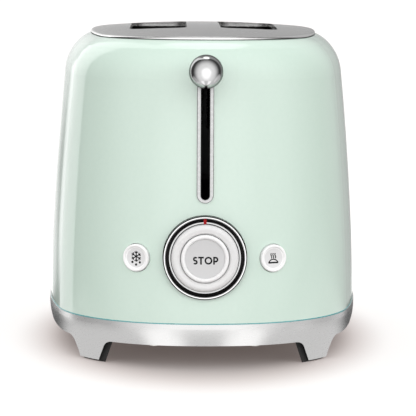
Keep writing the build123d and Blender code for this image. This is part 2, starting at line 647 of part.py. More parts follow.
# Armature plate under the slide, and the holding magnet it meets at the bottom of the travel
ARMATURE_SHEET = 3.0
MAGNET_BACK = 6.0
MAGNET_Y = SLIDE_FRONT + MAGNET_BACK
MAGNET_DEPTH = 12.0
MAGNET_X = 13.0
MAGNET_LEG = 4.0
MAGNET_TOP = ARM_Z - ARMATURE_SHEET - LEVER_TRAVEL - PART_GAP
ARMATURE_DEPTH = 13.0
COIL_BULGE = 4.6
YOKE_HEIGHT = 4.5
COIL_BELOW_TOP = 3.7
COIL_Z = (LEDGE_Z + YOKE_HEIGHT, MAGNET_TOP - COIL_BELOW_TOP)
with BuildPart() as armature_plate:
    block(span(MAGNET_X + 2), (SLIDE_FRONT, SLIDE_FRONT + ARMATURE_DEPTH), (ARM_Z - ARMATURE_SHEET, ARM_Z))
armature_plate.part.label = "armature_plate"
export_step(armature_plate.part, "parts/armature_plate.step")

with BuildPart() as magnet_core:
    deep = (MAGNET_Y - MAGNET_DEPTH / 2, MAGNET_Y + MAGNET_DEPTH / 2)
    block(span(MAGNET_X), deep, (LEDGE_Z, COIL_Z[0]))
    for x in (-MAGNET_X, -MAGNET_LEG, MAGNET_X - MAGNET_LEG):
        wide = 2 * MAGNET_LEG if x == -MAGNET_LEG else MAGNET_LEG
        block((x, x + wide), deep, (COIL_Z[0], MAGNET_TOP))
magnet_core.part.label = "magnet_core"
export_step(magnet_core.part, "parts/magnet_core.step")

with BuildPart() as magnet_coil:
    bulge = MAGNET_DEPTH / 2 + COIL_BULGE
    bore = MAGNET_DEPTH / 2 + SLIDE_GAP
    block(span(MAGNET_X - MAGNET_LEG - SLIDE_GAP), (MAGNET_Y - bulge, MAGNET_Y + bulge), COIL_Z)
    block(span(MAGNET_LEG + SLIDE_GAP), (MAGNET_Y - bore, MAGNET_Y + bore), COIL_Z, mode=Mode.SUBTRACT)
magnet_coil.part.label = "magnet_coil"
export_step(magnet_coil.part, "parts/magnet_coil.step")

# Lever stem: a flat bar from the slide up and out through the front slot, ending in a round pin
RISER_DEPTH = 5.0
PIN_RADIUS = 2.5
PIN_SHOULDER = BALL_Y + BALL_RADIUS + 2.0
PIN_TIP = BALL_Y + 2.0
STEM_MIDDLE = (STEM_BAR[0] + STEM_BAR[1]) / 2
with BuildPart() as lever_stem:
    thick = span(STEM_SHEET / 2)
    block(thick, (SLIDE_FRONT - RISER_DEPTH, SLIDE_FRONT), (ARM_Z + 2, STEM_BAR[1]))
    block(thick, (PIN_SHOULDER, SLIDE_FRONT), STEM_BAR)
    with BuildSketch(across(PIN_SHOULDER)) as pin:
        with Locations((0, STEM_MIDDLE)):
            Circle(PIN_RADIUS)
    extrude(pin.sketch, amount=PIN_SHOULDER - PIN_TIP)
lever_stem.part.label = "lever_stem"
export_step(lever_stem.part, "parts/lever_stem.step")

# Lever knob: a ball with a blind hole for the pin
with BuildPart() as lever_knob:
    with Locations((0, MID_Y + BALL_Y, STEM_MIDDLE)):
        Sphere(BALL_RADIUS)
    with BuildSketch(across(PIN_SHOULDER)) as pin_hole:
        with Locations((0, STEM_MIDDLE)):
            Circle(PIN_RADIUS)
    extrude(pin_hole.sketch, amount=PIN_SHOULDER - PIN_TIP + SLIDE_GAP, mode=Mode.SUBTRACT)
lever_knob.part.label = "lever_knob"
export_step(lever_knob.part, "parts/lever_knob.step")

# Return spring: a wire coil hung from the upper bracket that lifts the slide
SPRING_Y = ROD_Y - 4.0
SPRING_RADIUS = 4.0
SPRING_WIRE = 0.6
SPRING_TURNS = 11
SPRING_LOW = ARM_Z + SLIDE_HEIGHT
SPRING_HIGH = ROD_HIGH - BRACKET_SHEET
with BuildPart() as return_spring:
    rise = SPRING_HIGH - SPRING_LOW - 2 * SPRING_WIRE
    with BuildLine(Plane((0, MID_Y + SPRING_Y, SPRING_LOW + SPRING_WIRE))) as coil_line:
        Helix(pitch=rise / SPRING_TURNS, height=rise, radius=SPRING_RADIUS)
    coil = coil_line.wire()
    with BuildSketch(Plane(coil @ 0, z_dir=coil % 0)) as coil_section:
        Circle(SPRING_WIRE)
    sweep(coil_section.sketch, path=coil, is_frenet=True)
return_spring.part.label = "return_spring"
export_step(return_spring.part, "parts/return_spring.step")

# Control carrier: a moulded plate behind the controls, on four pillars from the front bulkhead
PILLAR_X = 46.0
PILLAR_RADIUS = 3.4
PILLAR_Z = (CARRIER_Z[0] + 14.0, CARRIER_Z[1] - 5.0)
TUBE_RADIUS = 6.0
TUBE_TOP = -5.0
TUBE_LENGTH = 14.0
with BuildPart() as control_carrier:
    block(span(CARRIER_X), (CARRIER_Y, BOARD_FRONT), CARRIER_Z)
    with BuildSketch(across(FRONT_WALL_Y - STEEL_SHEET)) as pillars:
        with Locations([(x, z) for x in span(PILLAR_X) for z in PILLAR_Z]):
            Circle(PILLAR_RADIUS)
    extrude(pillars.sketch, amount=FRONT_WALL_Y - STEEL_SHEET - BOARD_FRONT)
    for side in (1, -1):
        with BuildSketch(button_face(side).offset(TUBE_TOP)) as tube:
            Circle(TUBE_RADIUS)
        extrude(tube.sketch, amount=-TUBE_LENGTH)
    tube_ends = (BUTTON_Z - TUBE_RADIUS - 2, BUTTON_Z + TUBE_RADIUS + 2)
    block(span(CARRIER_X), (BOARD_FRONT, BOARD_FRONT + TUBE_LENGTH), tube_ends, mode=Mode.SUBTRACT)
    for side in (1, -1):
        with BuildSketch(button_face(side).offset(TUBE_TOP)) as tube_bore:
            Circle(STEM_RADIUS + RUN_FIT)
        extrude(tube_bore.sketch, amount=-TUBE_LENGTH, mode=Mode.SUBTRACT)
    with BuildSketch(DIAL_FACE.offset(-CARRIER_DEPTH)) as stop_boss:
        Circle(STOP_STEM + 3)
    extrude(stop_boss.sketch, amount=BOSS_HEIGHT)
    with BuildSketch(DIAL_FACE.offset(-BOARD_DEPTH)) as stop_bore:
        Circle(STOP_STEM + RUN_FIT)
    extrude(stop_bore.sketch, amount=CARRIER_SHEET + BOSS_HEIGHT, mode=Mode.SUBTRACT)
control_carrier.part.label = "control_carrier"
export_step(control_carrier.part, "parts/control_carrier.step")

# Control board behind the carrier, and the push switches on its face
BOARD_X = PILLAR_X - 4.0
BOARD_INSET = 2.0
SWITCH_RADIUS = 2.2
SWITCH_HEIGHT = 0.8
SWITCH_X = BUTTON_X - (BOARD_FRONT - BUTTON_Y) / BUTTON_COSINE * BUTTON_SINE
with BuildPart() as control_board:
    block(span(BOARD_X), (BOARD_FRONT, BOARD_REAR), (CARRIER_Z[0] + BOARD_INSET, CARRIER_Z[1] - BOARD_INSET))
control_board.part.label = "control_board"
export_step(control_board.part, "parts/control_board.step")

with BuildPart() as push_switches:
    with BuildSketch(across(BOARD_FRONT)) as switch_outline:
        with Locations((-SWITCH_X, BUTTON_Z), (0, DIAL_Z), (SWITCH_X, BUTTON_Z)):
            Circle(SWITCH_RADIUS)
    extrude(switch_outline.sketch, amount=SWITCH_HEIGHT)
push_switches.part.label = "push_switches"
export_step(push_switches.part, "parts/push_switches.step")

# Browning encoder: the ring on the carrier in which the hub of the dial turns
HUB_RADIUS = 10.8
HUB_END = -15.4
ENCODER_RADIUS = 16.0
ENCODER_TOP = -14.0
with BuildPart() as browning_encoder:
    with BuildSketch(DIAL_FACE.offset(-CARRIER_DEPTH)) as encoder_outline:
        Circle(ENCODER_RADIUS)
        Circle(HUB_RADIUS + RUN_FIT, mode=Mode.SUBTRACT)
    extrude(encoder_outline.sketch, amount=CARRIER_DEPTH + ENCODER_TOP)
browning_encoder.part.label = "browning_encoder"
export_step(browning_encoder.part, "parts/browning_encoder.step")

# Dial bezel: a bright cup in the wall around the dial, standing on the carrier
BEZEL_BORE = 23.4
BEZEL_TOP = 3.2
BEZEL_FLOOR = (-5.7, -4.2)
BEZEL_TUBE = (22.5, 24.0)
BEZEL_HOLE = 11.5
DIAL_AXIS = Axis(DIAL_FACE.origin, DIAL_FACE.z_dir)
with BuildPart() as dial_bezel:
    with BuildSketch(turning(DIAL_FACE)) as bezel_section:
        rim_round = (DIAL_RADIUS - BEZEL_BORE) / 2
        with BuildLine():
            Polyline(
                (BEZEL_BORE, BEZEL_TOP - rim_round),
                (BEZEL_BORE, BEZEL_FLOOR[1]),
                (BEZEL_HOLE, BEZEL_FLOOR[1]),
                (BEZEL_HOLE, BEZEL_FLOOR[0]),
                (BEZEL_TUBE[0], BEZEL_FLOOR[0]),
                (BEZEL_TUBE[0], -CARRIER_DEPTH),
                (BEZEL_TUBE[1], -CARRIER_DEPTH),
                (BEZEL_TUBE[1], BEZEL_FLOOR[0]),
                (DIAL_RADIUS, BEZEL_FLOOR[0]),
                (DIAL_RADIUS, BEZEL_TOP - rim_round),
            )
            bend((DIAL_RADIUS, BEZEL_TOP - rim_round), (BEZEL_BORE, BEZEL_TOP - rim_round), 90)
        make_face()
    revolve(bezel_section.sketch, axis=DIAL_AXIS)
dial_bezel.part.label = "dial_bezel"
export_step(dial_bezel.part, "parts/dial_bezel.step")

# Dial knob: a broad ring with a hub, open in the middle for the stop button
KNOB_RADIUS = 20.0
KNOB_TOP = 6.5
KNOB_ROUND = 2.5
KNOB_BORE = 14.7
KNOB_FLOOR = (-3.5, -1.5)
with BuildPart() as dial_knob:
    with BuildSketch(turning(DIAL_FACE)) as knob_section:
        with BuildLine():
            Polyline(
                (KNOB_BORE + 0.9, KNOB_TOP - 0.3),
                (KNOB_BORE, KNOB_TOP - 1.2),
                (KNOB_BORE, KNOB_FLOOR[1]),
                (HUB_BORE, KNOB_FLOOR[1]),
                (HUB_BORE, HUB_END),
                (HUB_RADIUS, HUB_END),
                (HUB_RADIUS, KNOB_FLOOR[0]),
                (KNOB_RADIUS, KNOB_FLOOR[0]),
                (KNOB_RADIUS, KNOB_TOP - KNOB_ROUND),
            )
            bend((KNOB_RADIUS, KNOB_TOP - KNOB_ROUND), (KNOB_RADIUS - KNOB_ROUND, KNOB_TOP), 90)
            Line((KNOB_RADIUS - KNOB_ROUND, KNOB_TOP), (KNOB_BORE + 0.9, KNOB_TOP - 0.3))
        make_face()
    revolve(knob_section.sketch, axis=DIAL_AXIS)
dial_knob.part.label = "dial_knob"
export_step(dial_knob.part, "parts/dial_knob.step")

# Dial skirt: a bright collar on the knob, down in the cup
SKIRT_RADIUS = 21.8
SKIRT_TOP = 1.6
SKIRT_LOW = -3.5
SKIRT_CHAMFER = 0.5
with BuildPart() as dial_skirt:
    with BuildSketch(turning(DIAL_FACE)) as skirt_section:
        Polygon(
            (KNOB_RADIUS, SKIRT_LOW),
            (SKIRT_RADIUS, SKIRT_LOW),
            (SKIRT_RADIUS, SKIRT_TOP - SKIRT_CHAMFER),
            (SKIRT_RADIUS - SKIRT_CHAMFER, SKIRT_TOP),
            (KNOB_RADIUS + SKIRT_CHAMFER, SKIRT_TOP),
            (KNOB_RADIUS, SKIRT_TOP - SKIRT_CHAMFER),
            align=None,
        )
    revolve(skirt_section.sketch, axis=DIAL_AXIS)
dial_skirt.part.label = "dial_skirt"
export_step(dial_skirt.part, "parts/dial_skirt.step")

# Dial pointer: a small bar on the collar at twelve o'clock that reaches out over the groove
POINTER_WIDTH = 1.7
POINTER_HEIGHT = 0.8
with BuildPart() as dial_pointer:
    inner = KNOB_RADIUS + SLIDE_GAP
    outer = BEZEL_BORE - PART_GAP
    with BuildSketch(DIAL_FACE.offset(SKIRT_TOP)) as pointer_outline:
        with Locations((0, (inner + outer) / 2)):
            Rectangle(POINTER_WIDTH, outer - inner)
    extrude(pointer_outline.sketch, amount=POINTER_HEIGHT)
dial_pointer.part.label = "dial_pointer"
export_step(dial_pointer.part, "parts/dial_pointer.step")


# Push buttons: a dished cap with a raised rim, on a stem
def push_button(face, radius, rim, top, dish, base, stem, end):
    """Turned button; heights are measured outwards from the face plane."""
    edge = top - rim / 2
    with BuildSketch(turning(face)) as button_section:
        with BuildLine():
            bend((0, edge - dish), (radius - rim, edge), 0)
            bend((radius, edge), (radius - rim, edge), 90)
            Polyline((radius, edge), (radius, base), (stem, base), (stem, end), (0, end), (0, edge - dish))
        make_face()
    revolve(button_section.sketch, axis=Axis(face.origin, face.z_dir))


STOP_RADIUS = KNOB_BORE - 0.4
STOP_END = SWITCH_HEIGHT + BUTTON_TRAVEL + SLIDE_GAP - BOARD_DEPTH
with BuildPart() as stop_button:
    push_button(DIAL_FACE, STOP_RADIUS, 2.6, 7.2, 0.5, KNOB_FLOOR[1] + BUTTON_TRAVEL + 0.5, STOP_STEM, STOP_END)
stop_button.part.label = "stop_button"
export_step(stop_button.part, "parts/stop_button.step")

BUTTON_END = -12.0
BUTTON_BASE = TUBE_TOP + BUTTON_TRAVEL + 0.4
for name, side in (("defrost_button", -1), ("reheat_button", 1)):
    with BuildPart() as side_button:
        push_button(button_face(side), BUTTON_RADIUS, 1.8, 1.9, 0.5, BUTTON_BASE, STEM_RADIUS, BUTTON_END)
    side_button.part.label = name
    export_step(side_button.part, "parts/" + name + ".step")

# Crumb tray: a shallow drawer over the pan that pulls out at the rear
TRAY_INSET = 2.3
with BuildPart() as crumb_tray:
    with BuildSketch(level(TRAY_Z)) as tray_outline:
        with BuildLine():
            oval(TRAY_INSET)
        make_face()
        with Locations((0, (TRAY_FRONT + BODY_LENGTH) / 2)):
            Rectangle(2 * TRAY_X, BODY_LENGTH - TRAY_FRONT, mode=Mode.INTERSECT)
    extrude(tray_outline.sketch, amount=TRAY_HEIGHT)
    inside = (TRAY_FRONT + TRAY_SHEET, BODY_LENGTH)
    block(span(TRAY_X - TRAY_SHEET), inside, (TRAY_Z + TRAY_SHEET, SEAM_Z), mode=Mode.SUBTRACT)
crumb_tray.part.label = "crumb_tray"
export_step(crumb_tray.part, "parts/crumb_tray.step")

# Tray handle: the piece of the ring that comes out with the tray, with a lip to pull it by
LIP_X = 24.0
LIP_DROP = 5.4
LIP_SHEET = 1.8
LIP_Z = (SEAM_Z - LIP_DROP, SEAM_Z - LIP_DROP + LIP_SHEET)
with BuildPart() as tray_handle:
    with BuildSketch(along(0)) as handle_section:
        with BuildLine():
            ring_band()
        make_face()
    sweep(handle_section.sketch, path=SEAM_PATH)
    block(span(NOTCH_X - PART_GAP), REAR_END, (TRAY_Z, SEAM_Z - PART_GAP), mode=Mode.INTERSECT)
    block(span(LIP_X), (HALF_LENGTH - RING_SHEET, HALF_LENGTH + LIP_LENGTH), LIP_Z)
tray_handle.part.label = "tray_handle"
export_step(tray_handle.part, "parts/tray_handle.step")

# Cord gland: a rubber bush in the pan for the mains cord
GLAND_FLANGE = 8.2
GLAND_BELOW = 3.0
GLAND_ABOVE = 2.0
CORD_RADIUS = 3.75
with BuildPart() as cord_gland:
    for low, high, radius in (
        (PAN_Z - GLAND_BELOW, PAN_Z, GLAND_FLANGE),
        (PAN_Z, LEDGE_Z, GLAND_RADIUS),
        (LEDGE_Z, LEDGE_Z + GLAND_ABOVE, GLAND_FLANGE),
    ):
        with BuildSketch(level(low)) as gland_outline:
            with Locations((GLAND_X, GLAND_Y)):
                Circle(radius)
        extrude(gland_outline.sketch, amount=high - low)
    with BuildSketch(level(PAN_Z - GLAND_BELOW)) as gland_bore:
        with Locations((GLAND_X, GLAND_Y)):
            Circle(CORD_RADIUS)
    extrude(gland_bore.sketch, amount=GLAND_BELOW + PAN_SHEET + GLAND_ABOVE, mode=Mode.SUBTRACT)
cord_gland.part.label = "cord_gland"
export_step(cord_gland.part, "parts/cord_gland.step")

# Terminal block on the rear bulkhead, with three screw wells
TERMINAL_X = 18.0
TERMINAL_Y = REAR_WALL_Y + STEEL_SHEET
TERMINAL_DEPTH = 15.0
TERMINAL_Z = (ARM_LOW + 22.0, ARM_LOW + 36.0)
WELL_PITCH = 12.0
WELL_RADIUS = 2.5
WELL_DEPTH = 6.0
with BuildPart() as terminal_block:
    block(span(TERMINAL_X), (TERMINAL_Y, TERMINAL_Y + TERMINAL_DEPTH), TERMINAL_Z)
    with BuildSketch(level(TERMINAL_Z[1])) as terminal_wells:
        with Locations((0, TERMINAL_Y + TERMINAL_DEPTH / 2)):
            with GridLocations(WELL_PITCH, 0, 3, 1):
                Circle(WELL_RADIUS)
    extrude(terminal_wells.sketch, amount=-WELL_DEPTH, mode=Mode.SUBTRACT)
terminal_block.part.label = "terminal_block"
export_step(terminal_block.part, "parts/terminal_block.step")

# Mains switch on the front bulkhead beside the slide, with its plunger on top
MAINS_X = (SLIDE_X + 3.5, SLIDE_X + 12.0)
MAINS_Y = (FRONT_WALL_Y - STEEL_SHEET - 13.0, FRONT_WALL_Y - STEEL_SHEET)
MAINS_Z = (ARM_LOW + 12.0, ARM_LOW + 32.0)
PLUNGER_INSET = 2.0
PLUNGER_HEIGHT = 3.0
with BuildPart() as mains_switch:
    block(MAINS_X, MAINS_Y, MAINS_Z)
    plunger_x = (MAINS_X[0] + PLUNGER_INSET, MAINS_X[1] - PLUNGER_INSET)
    plunger_y = (MAINS_Y[0] + PLUNGER_INSET, MAINS_Y[1] - PLUNGER_INSET)
    block(plunger_x, plunger_y, (MAINS_Z[1], MAINS_Z[1] + PLUNGER_HEIGHT))
mains_switch.part.label = "mains_switch"
export_step(mains_switch.part, "parts/mains_switch.step")
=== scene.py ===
import json
import math

import bmesh
import bpy
from mathutils import Matrix, Vector
from mathutils.bvhtree import BVHTree


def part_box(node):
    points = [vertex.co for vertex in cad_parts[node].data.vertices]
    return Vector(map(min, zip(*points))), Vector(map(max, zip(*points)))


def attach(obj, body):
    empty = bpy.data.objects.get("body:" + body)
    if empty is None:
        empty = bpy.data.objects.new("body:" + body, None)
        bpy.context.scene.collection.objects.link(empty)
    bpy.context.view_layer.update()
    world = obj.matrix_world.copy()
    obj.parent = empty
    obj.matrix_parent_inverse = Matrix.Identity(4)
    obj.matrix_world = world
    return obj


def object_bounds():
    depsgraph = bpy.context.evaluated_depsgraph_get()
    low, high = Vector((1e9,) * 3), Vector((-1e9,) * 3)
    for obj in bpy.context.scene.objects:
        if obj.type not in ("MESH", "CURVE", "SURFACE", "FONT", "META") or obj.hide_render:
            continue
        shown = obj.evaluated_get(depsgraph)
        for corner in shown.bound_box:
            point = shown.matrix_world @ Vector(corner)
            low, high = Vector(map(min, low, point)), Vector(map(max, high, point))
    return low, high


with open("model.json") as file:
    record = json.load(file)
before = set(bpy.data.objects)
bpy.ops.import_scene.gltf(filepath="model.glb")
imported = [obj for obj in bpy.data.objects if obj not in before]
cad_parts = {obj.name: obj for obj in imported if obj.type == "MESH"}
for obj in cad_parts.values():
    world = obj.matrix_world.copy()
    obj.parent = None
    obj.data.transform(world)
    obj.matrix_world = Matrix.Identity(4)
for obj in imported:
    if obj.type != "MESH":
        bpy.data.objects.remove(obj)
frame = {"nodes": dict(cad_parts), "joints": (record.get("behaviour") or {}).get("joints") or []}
nodes = frame["nodes"]
cad_box = [list(corner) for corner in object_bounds()]


# Base pan, bulkheads and heat shields: sheet steel, zinc plated, punched and folded, then hooked and
# screwed together. The front bulkhead, which shows through the lever slot, is coloured near black as
# painted shade inside the slot.
def surface_variation():
    """Shader group: a grain over Object coordinates that drives colour, roughness and height together."""
    group = bpy.data.node_groups.new("surface_variation", "ShaderNodeTree")
    sockets = group.interface
    for label, kind in (
        ("Colour", "NodeSocketColor"),
        ("Second Colour", "NodeSocketColor"),
        ("Roughness", "NodeSocketFloat"),
        ("Second Roughness", "NodeSocketFloat"),
        ("Stretch", "NodeSocketVector"),
        ("Fineness", "NodeSocketFloat"),
        ("Detail", "NodeSocketFloat"),
    ):
        sockets.new_socket(label, in_out="INPUT", socket_type=kind)
    for label, kind in (
        ("Colour", "NodeSocketColor"),
        ("Roughness", "NodeSocketFloat"),
        ("Height", "NodeSocketFloat"),
    ):
        sockets.new_socket(label, in_out="OUTPUT", socket_type=kind)
    inlet = group.nodes.new("NodeGroupInput")
    outlet = group.nodes.new("NodeGroupOutput")
    place = group.nodes.new("ShaderNodeTexCoord")
    stretch = group.nodes.new("ShaderNodeVectorMath")
    stretch.operation = "MULTIPLY"
    grain = group.nodes.new("ShaderNodeTexNoise")
    spread = group.nodes.new("ShaderNodeMapRange")
    spread.inputs["From Min"].default_value = 0.3
    spread.inputs["From Max"].default_value = 0.7
    tint = group.nodes.new("ShaderNodeMix")
    tint.data_type = "RGBA"
    rough = group.nodes.new("ShaderNodeMix")
    link = group.links.new
    link(place.outputs["Object"], stretch.inputs[0])
    link(inlet.outputs["Stretch"], stretch.inputs[1])
    link(stretch.outputs["Vector"], grain.inputs["Vector"])
    link(inlet.outputs["Fineness"], grain.inputs["Scale"])
    link(inlet.outputs["Detail"], grain.inputs["Detail"])
    link(grain.outputs["Fac"], spread.inputs["Value"])
    link(spread.outputs["Result"], tint.inputs["Factor"])
    link(inlet.outputs["Colour"], tint.inputs["A"])
    link(inlet.outputs["Second Colour"], tint.inputs["B"])
    link(spread.outputs["Result"], rough.inputs["Factor"])
    link(inlet.outputs["Roughness"], rough.inputs["A"])
    link(inlet.outputs["Second Roughness"], rough.inputs["B"])
    link(tint.outputs["Result"], outlet.inputs["Colour"])
    link(rough.outputs["Result"], outlet.inputs["Roughness"])
    link(grain.outputs["Fac"], outlet.inputs["Height"])
    return group


variation = surface_variation()


def finish(name, colours, roughness, fineness, relief, stretch=(1, 1, 1), metallic=0.0, detail=4.0):
    """Material whose colour, roughness and bump follow the shared grain."""
    made = bpy.data.materials.new(name)
    made.use_nodes = True
    tree = made.node_tree
    shader = tree.nodes["Principled BSDF"]
    shader.inputs["Metallic"].default_value = metallic
    grain = tree.nodes.new("ShaderNodeGroup")
    grain.name = "grain"
    grain.node_tree = variation
    grain.inputs["Colour"].default_value = (*colours[0], 1)
    grain.inputs["Second Colour"].default_value = (*colours[1], 1)
    grain.inputs["Roughness"].default_value = roughness[0]
    grain.inputs["Second Roughness"].default_value = roughness[1]
    grain.inputs["Stretch"].default_value = stretch
    grain.inputs["Fineness"].default_value = fineness
    grain.inputs["Detail"].default_value = detail
    bump = tree.nodes.new("ShaderNodeBump")
    bump.inputs["Distance"].default_value = relief
    tree.links.new(grain.outputs["Colour"], shader.inputs["Base Color"])
    tree.links.new(grain.outputs["Roughness"], shader.inputs["Roughness"])
    tree.links.new(grain.outputs["Height"], bump.inputs["Height"])
    tree.links.new(bump.outputs["Normal"], shader.inputs["Normal"])
    return made


def wear(material, *names):
    """Puts a material on CAD nodes."""
    for name in names:
        mesh = nodes[name].data
        mesh.materials.clear()
        mesh.materials.append(material)


zinc_plate = finish(
    "zinc_plate",
    colours=((0.50, 0.50, 0.49), (0.62, 0.62, 0.60)),
    roughness=(0.32, 0.48),
    fineness=220,
    relief=0.00001,
    metallic=1.0,
)
wear(zinc_plate, "base_pan", "rear_bulkhead", "heat_shield_left", "heat_shield_right")
slot_shade_black = finish(
    "slot_shade_black",
    colours=((0.008, 0.008, 0.008), (0.013, 0.013, 0.013)),
    roughness=(0.60, 0.75),
    fineness=800,
    relief=0.000006,
)
wear(slot_shade_black, "front_bulkhead")

# Base screws: short pan-head screws, zinc plated steel, driven up through the pan into the ring's ledge.
# The plating is brighter than on the sheets, with a fine turned grain.
screw_zinc = finish(
    "screw_zinc",
    colours=((0.62, 0.61, 0.58), (0.74, 0.72, 0.68)),
    roughness=(0.25, 0.36),
    fineness=1400,
    relief=0.000004,
    metallic=1.0,
)
wear(screw_zinc, "base_screws")

# Heating elements: punched mica boards, pale brown and flaky, that hook into the bulkheads. A flat
# resistance ribbon lies on one face of each of them and has turned dull with heat.
mica = finish(
    "mica_board",
    colours=((0.50, 0.42, 0.31), (0.62, 0.54, 0.42)),
    roughness=(0.35, 0.60),
    fineness=160,
    relief=0.00002,
)
wear(mica, "element_board_left", "element_board_centre", "element_board_right")
ribbon = finish(
    "heating_ribbon",
    colours=((0.30, 0.28, 0.26), (0.42, 0.38, 0.34)),
    roughness=(0.35, 0.50),
    fineness=500,
    relief=0.000005,
    metallic=1.0,
)
wear(ribbon, "element_ribbon_left", "element_ribbon_centre", "element_ribbon_right")

# Bread guides: welded grids of bright drawn wire, two to a slot, that close on the slice. The drawing
# marks run along the wires, and the heat leaves them faintly straw coloured.
guide_wire = finish(
    "guide_wire",
    colours=((0.58, 0.56, 0.52), (0.70, 0.67, 0.61)),
    roughness=(0.22, 0.34),
    fineness=90,
    relief=0.000004,
    stretch=(1, 6, 6),
    metallic=1.0,
)
wear(guide_wire, "guide_left_outer", "guide_left_inner", "guide_right_inner", "guide_right_outer")

# Carriage: a moulded nylon slide on two ground steel rods, with steel arms that lift the bread and a
# coiled spring that brings it up. The rods stand in two folded brackets on the front bulkhead.
nylon = finish(
    "black_nylon",
    colours=((0.008, 0.008, 0.009), (0.016, 0.016, 0.017)),
    roughness=(0.50, 0.65),
    fineness=1200,
    relief=0.00002,
)
wear(nylon, "carriage_slide")
ground_steel = finish(
    "ground_steel",
    colours=((0.55, 0.55, 0.55), (0.66, 0.66, 0.66)),
    roughness=(0.18, 0.28),
    fineness=60,
    relief=0.000003,
    stretch=(1, 1, 20),
    metallic=1.0,
)
wear(ground_steel, "guide_rods", "carriage_arms", "return_spring", "rod_bracket_upper", "rod_bracket_lower")

# Holding magnet: a soft iron core with a lacquered copper coil, and the armature plate under the slide
# that it holds down while the bread toasts.
soft_iron = finish(
    "soft_iron",
    colours=((0.22, 0.22, 0.22), (0.34, 0.33, 0.32)),
    roughness=(0.40, 0.55),
    fineness=400,
    relief=0.00001,
    metallic=1.0,
)
wear(soft_iron, "magnet_core")
# The armature plate, which also shows through the lever slot, is coloured near black as painted shade
# inside the slot.
wear(slot_shade_black, "armature_plate")
copper = finish(
    "copper_winding",
    colours=((0.55, 0.26, 0.11), (0.68, 0.36, 0.17)),
    roughness=(0.25, 0.35),
    fineness=30,
    relief=0.00005,
    stretch=(1, 1, 90),
    metallic=1.0,
)
wear(copper, "magnet_coil")

# Controls inside: a moulded carrier behind the front wall with the circuit board, the three push
# switches and the rotary encoder of the dial. The board is green glass laminate, lacquered.
laminate = finish(
    "board_laminate",
    colours=((0.03, 0.19, 0.08), (0.05, 0.27, 0.12)),
    roughness=(0.30, 0.45),
    fineness=500,
    relief=0.00001,
)
wear(laminate, "control_board")
wear(nylon, "control_carrier", "push_switches", "browning_encoder")

# Mains side: terminal block and switch of black phenolic, and the rubber gland in the pan where the
# lead comes in. The rubber has a dull moulded skin.
wear(nylon, "terminal_block", "mains_switch")
# This black colours the real rubber parts and also the painted shade lines round the lever trim and under
# the plate edge.
rubber_and_shade = finish(
    "black_rubber_and_shade",
    colours=((0.014, 0.014, 0.014), (0.026, 0.026, 0.026)),
    roughness=(0.62, 0.78),
    fineness=900,
    relief=0.00004,
)
wear(rubber_and_shade, "cord_gland")

# Crumb tray: a folded aluminium drawer on two runners of the pan, rolled along its length. Its handle
# closes a gap in the rear of the base ring, comes out with the tray and has the ring's finish.
tray_aluminium = finish(
    "tray_aluminium",
    colours=((0.66, 0.66, 0.66), (0.76, 0.76, 0.76)),
    roughness=(0.30, 0.42),
    fineness=60,
    relief=0.00001,
    stretch=(40, 1, 40),
    metallic=1.0,
)
wear(tray_aluminium, "crumb_tray")

# Base ring: a cast band with four legs, plated and satin finished, that stands around the pan. The
# satin grain runs around the band, so it is fine up and down and long sideways.
satin_chrome = finish(
    "satin_chrome",
    colours=((0.68, 0.675, 0.67), (0.70, 0.695, 0.69)),
    roughness=(0.27, 0.29),
    fineness=260,
    relief=0.0000001,
    stretch=(1, 1, 9),
    metallic=1.0,
)
wear(satin_chrome, "base_ring", "tray_handle")

# Rubber feet: four black blocks behind the legs, pushed onto the pan from below. They stand just lower
# than the legs, so only they touch the worktop.
wear(rubber_and_shade, "rubber_feet")


# Body shell: one deep drawn steel sheet with a rounded shoulder, stove enamelled in gloss mint green.
# The glaze is smooth, with a faint orange peel, and a clear gloss over it.
def gloss(material, levels):
    """Sets plain values on the sockets of a material's own shader."""
    sockets = material.node_tree.nodes["Principled BSDF"].inputs
    for label, level in levels.items():
        sockets[label].default_value = level


enamel = finish(
    "mint_enamel",
    colours=((0.595, 0.730, 0.648), (0.605, 0.738, 0.656)),
    roughness=(0.42, 0.46),
    fineness=420,
    relief=0.0000012,
    detail=1.0,
)
gloss(enamel, {"Specular IOR Level": 0.1, "Coat Weight": 1.0, "Coat Roughness": 0.07, "Coat IOR": 1.65})
wear(enamel, "body_shell")


# Shell seam shade: a thin bead round the shell's lower edge, coloured dark teal as a painted shade line at
# the seam just above the base ring.
def joined_copy(name):
    """Bmesh copy of a CAD node with its loose triangles joined."""
    copy = bmesh.new()
    copy.from_mesh(nodes[name].data)
    bmesh.ops.remove_doubles(copy, verts=copy.verts[:], dist=JOIN_REACH)
    return copy


def cut_level(shape, height, keep_below):
    """Cuts a shape through at a height and keeps what is below it or above it."""
    bmesh.ops.bisect_plane(
        shape,
        geom=shape.verts[:] + shape.edges[:] + shape.faces[:],
        plane_co=(0, 0, height),
        plane_no=(0, 0, 1),
        clear_outer=keep_below,
        clear_inner=not keep_below,
    )


def stand_proud(shape, distance):
    """Moves the walls of a shape outwards, on the level."""
    shape.normal_update()
    for vertex in shape.verts:
        vertex.co += Vector((vertex.normal.x, vertex.normal.y, 0)) * distance


def added_piece(name, shape, material):
    """Object of the scene, made from a bmesh in one material."""
    mesh = bpy.data.meshes.new(name)
    shape.to_mesh(mesh)
    shape.free()
    mesh.materials.append(material)
    made = bpy.data.objects.new(name, mesh)
    bpy.context.scene.collection.objects.link(made)
    return made


JOIN_REACH = 0.000001
SEAM_SHADE_HEIGHT = 0.0006
SEAM_SHADE_PROUD = 0.00004
seam_shade_bm = joined_copy("body_shell")
cut_level(seam_shade_bm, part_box("body_shell")[0][2] + SEAM_SHADE_HEIGHT, keep_below=True)
stand_proud(seam_shade_bm, SEAM_SHADE_PROUD)
bmesh.ops.bridge_loops(seam_shade_bm, edges=[edge for edge in seam_shade_bm.edges if edge.is_boundary])
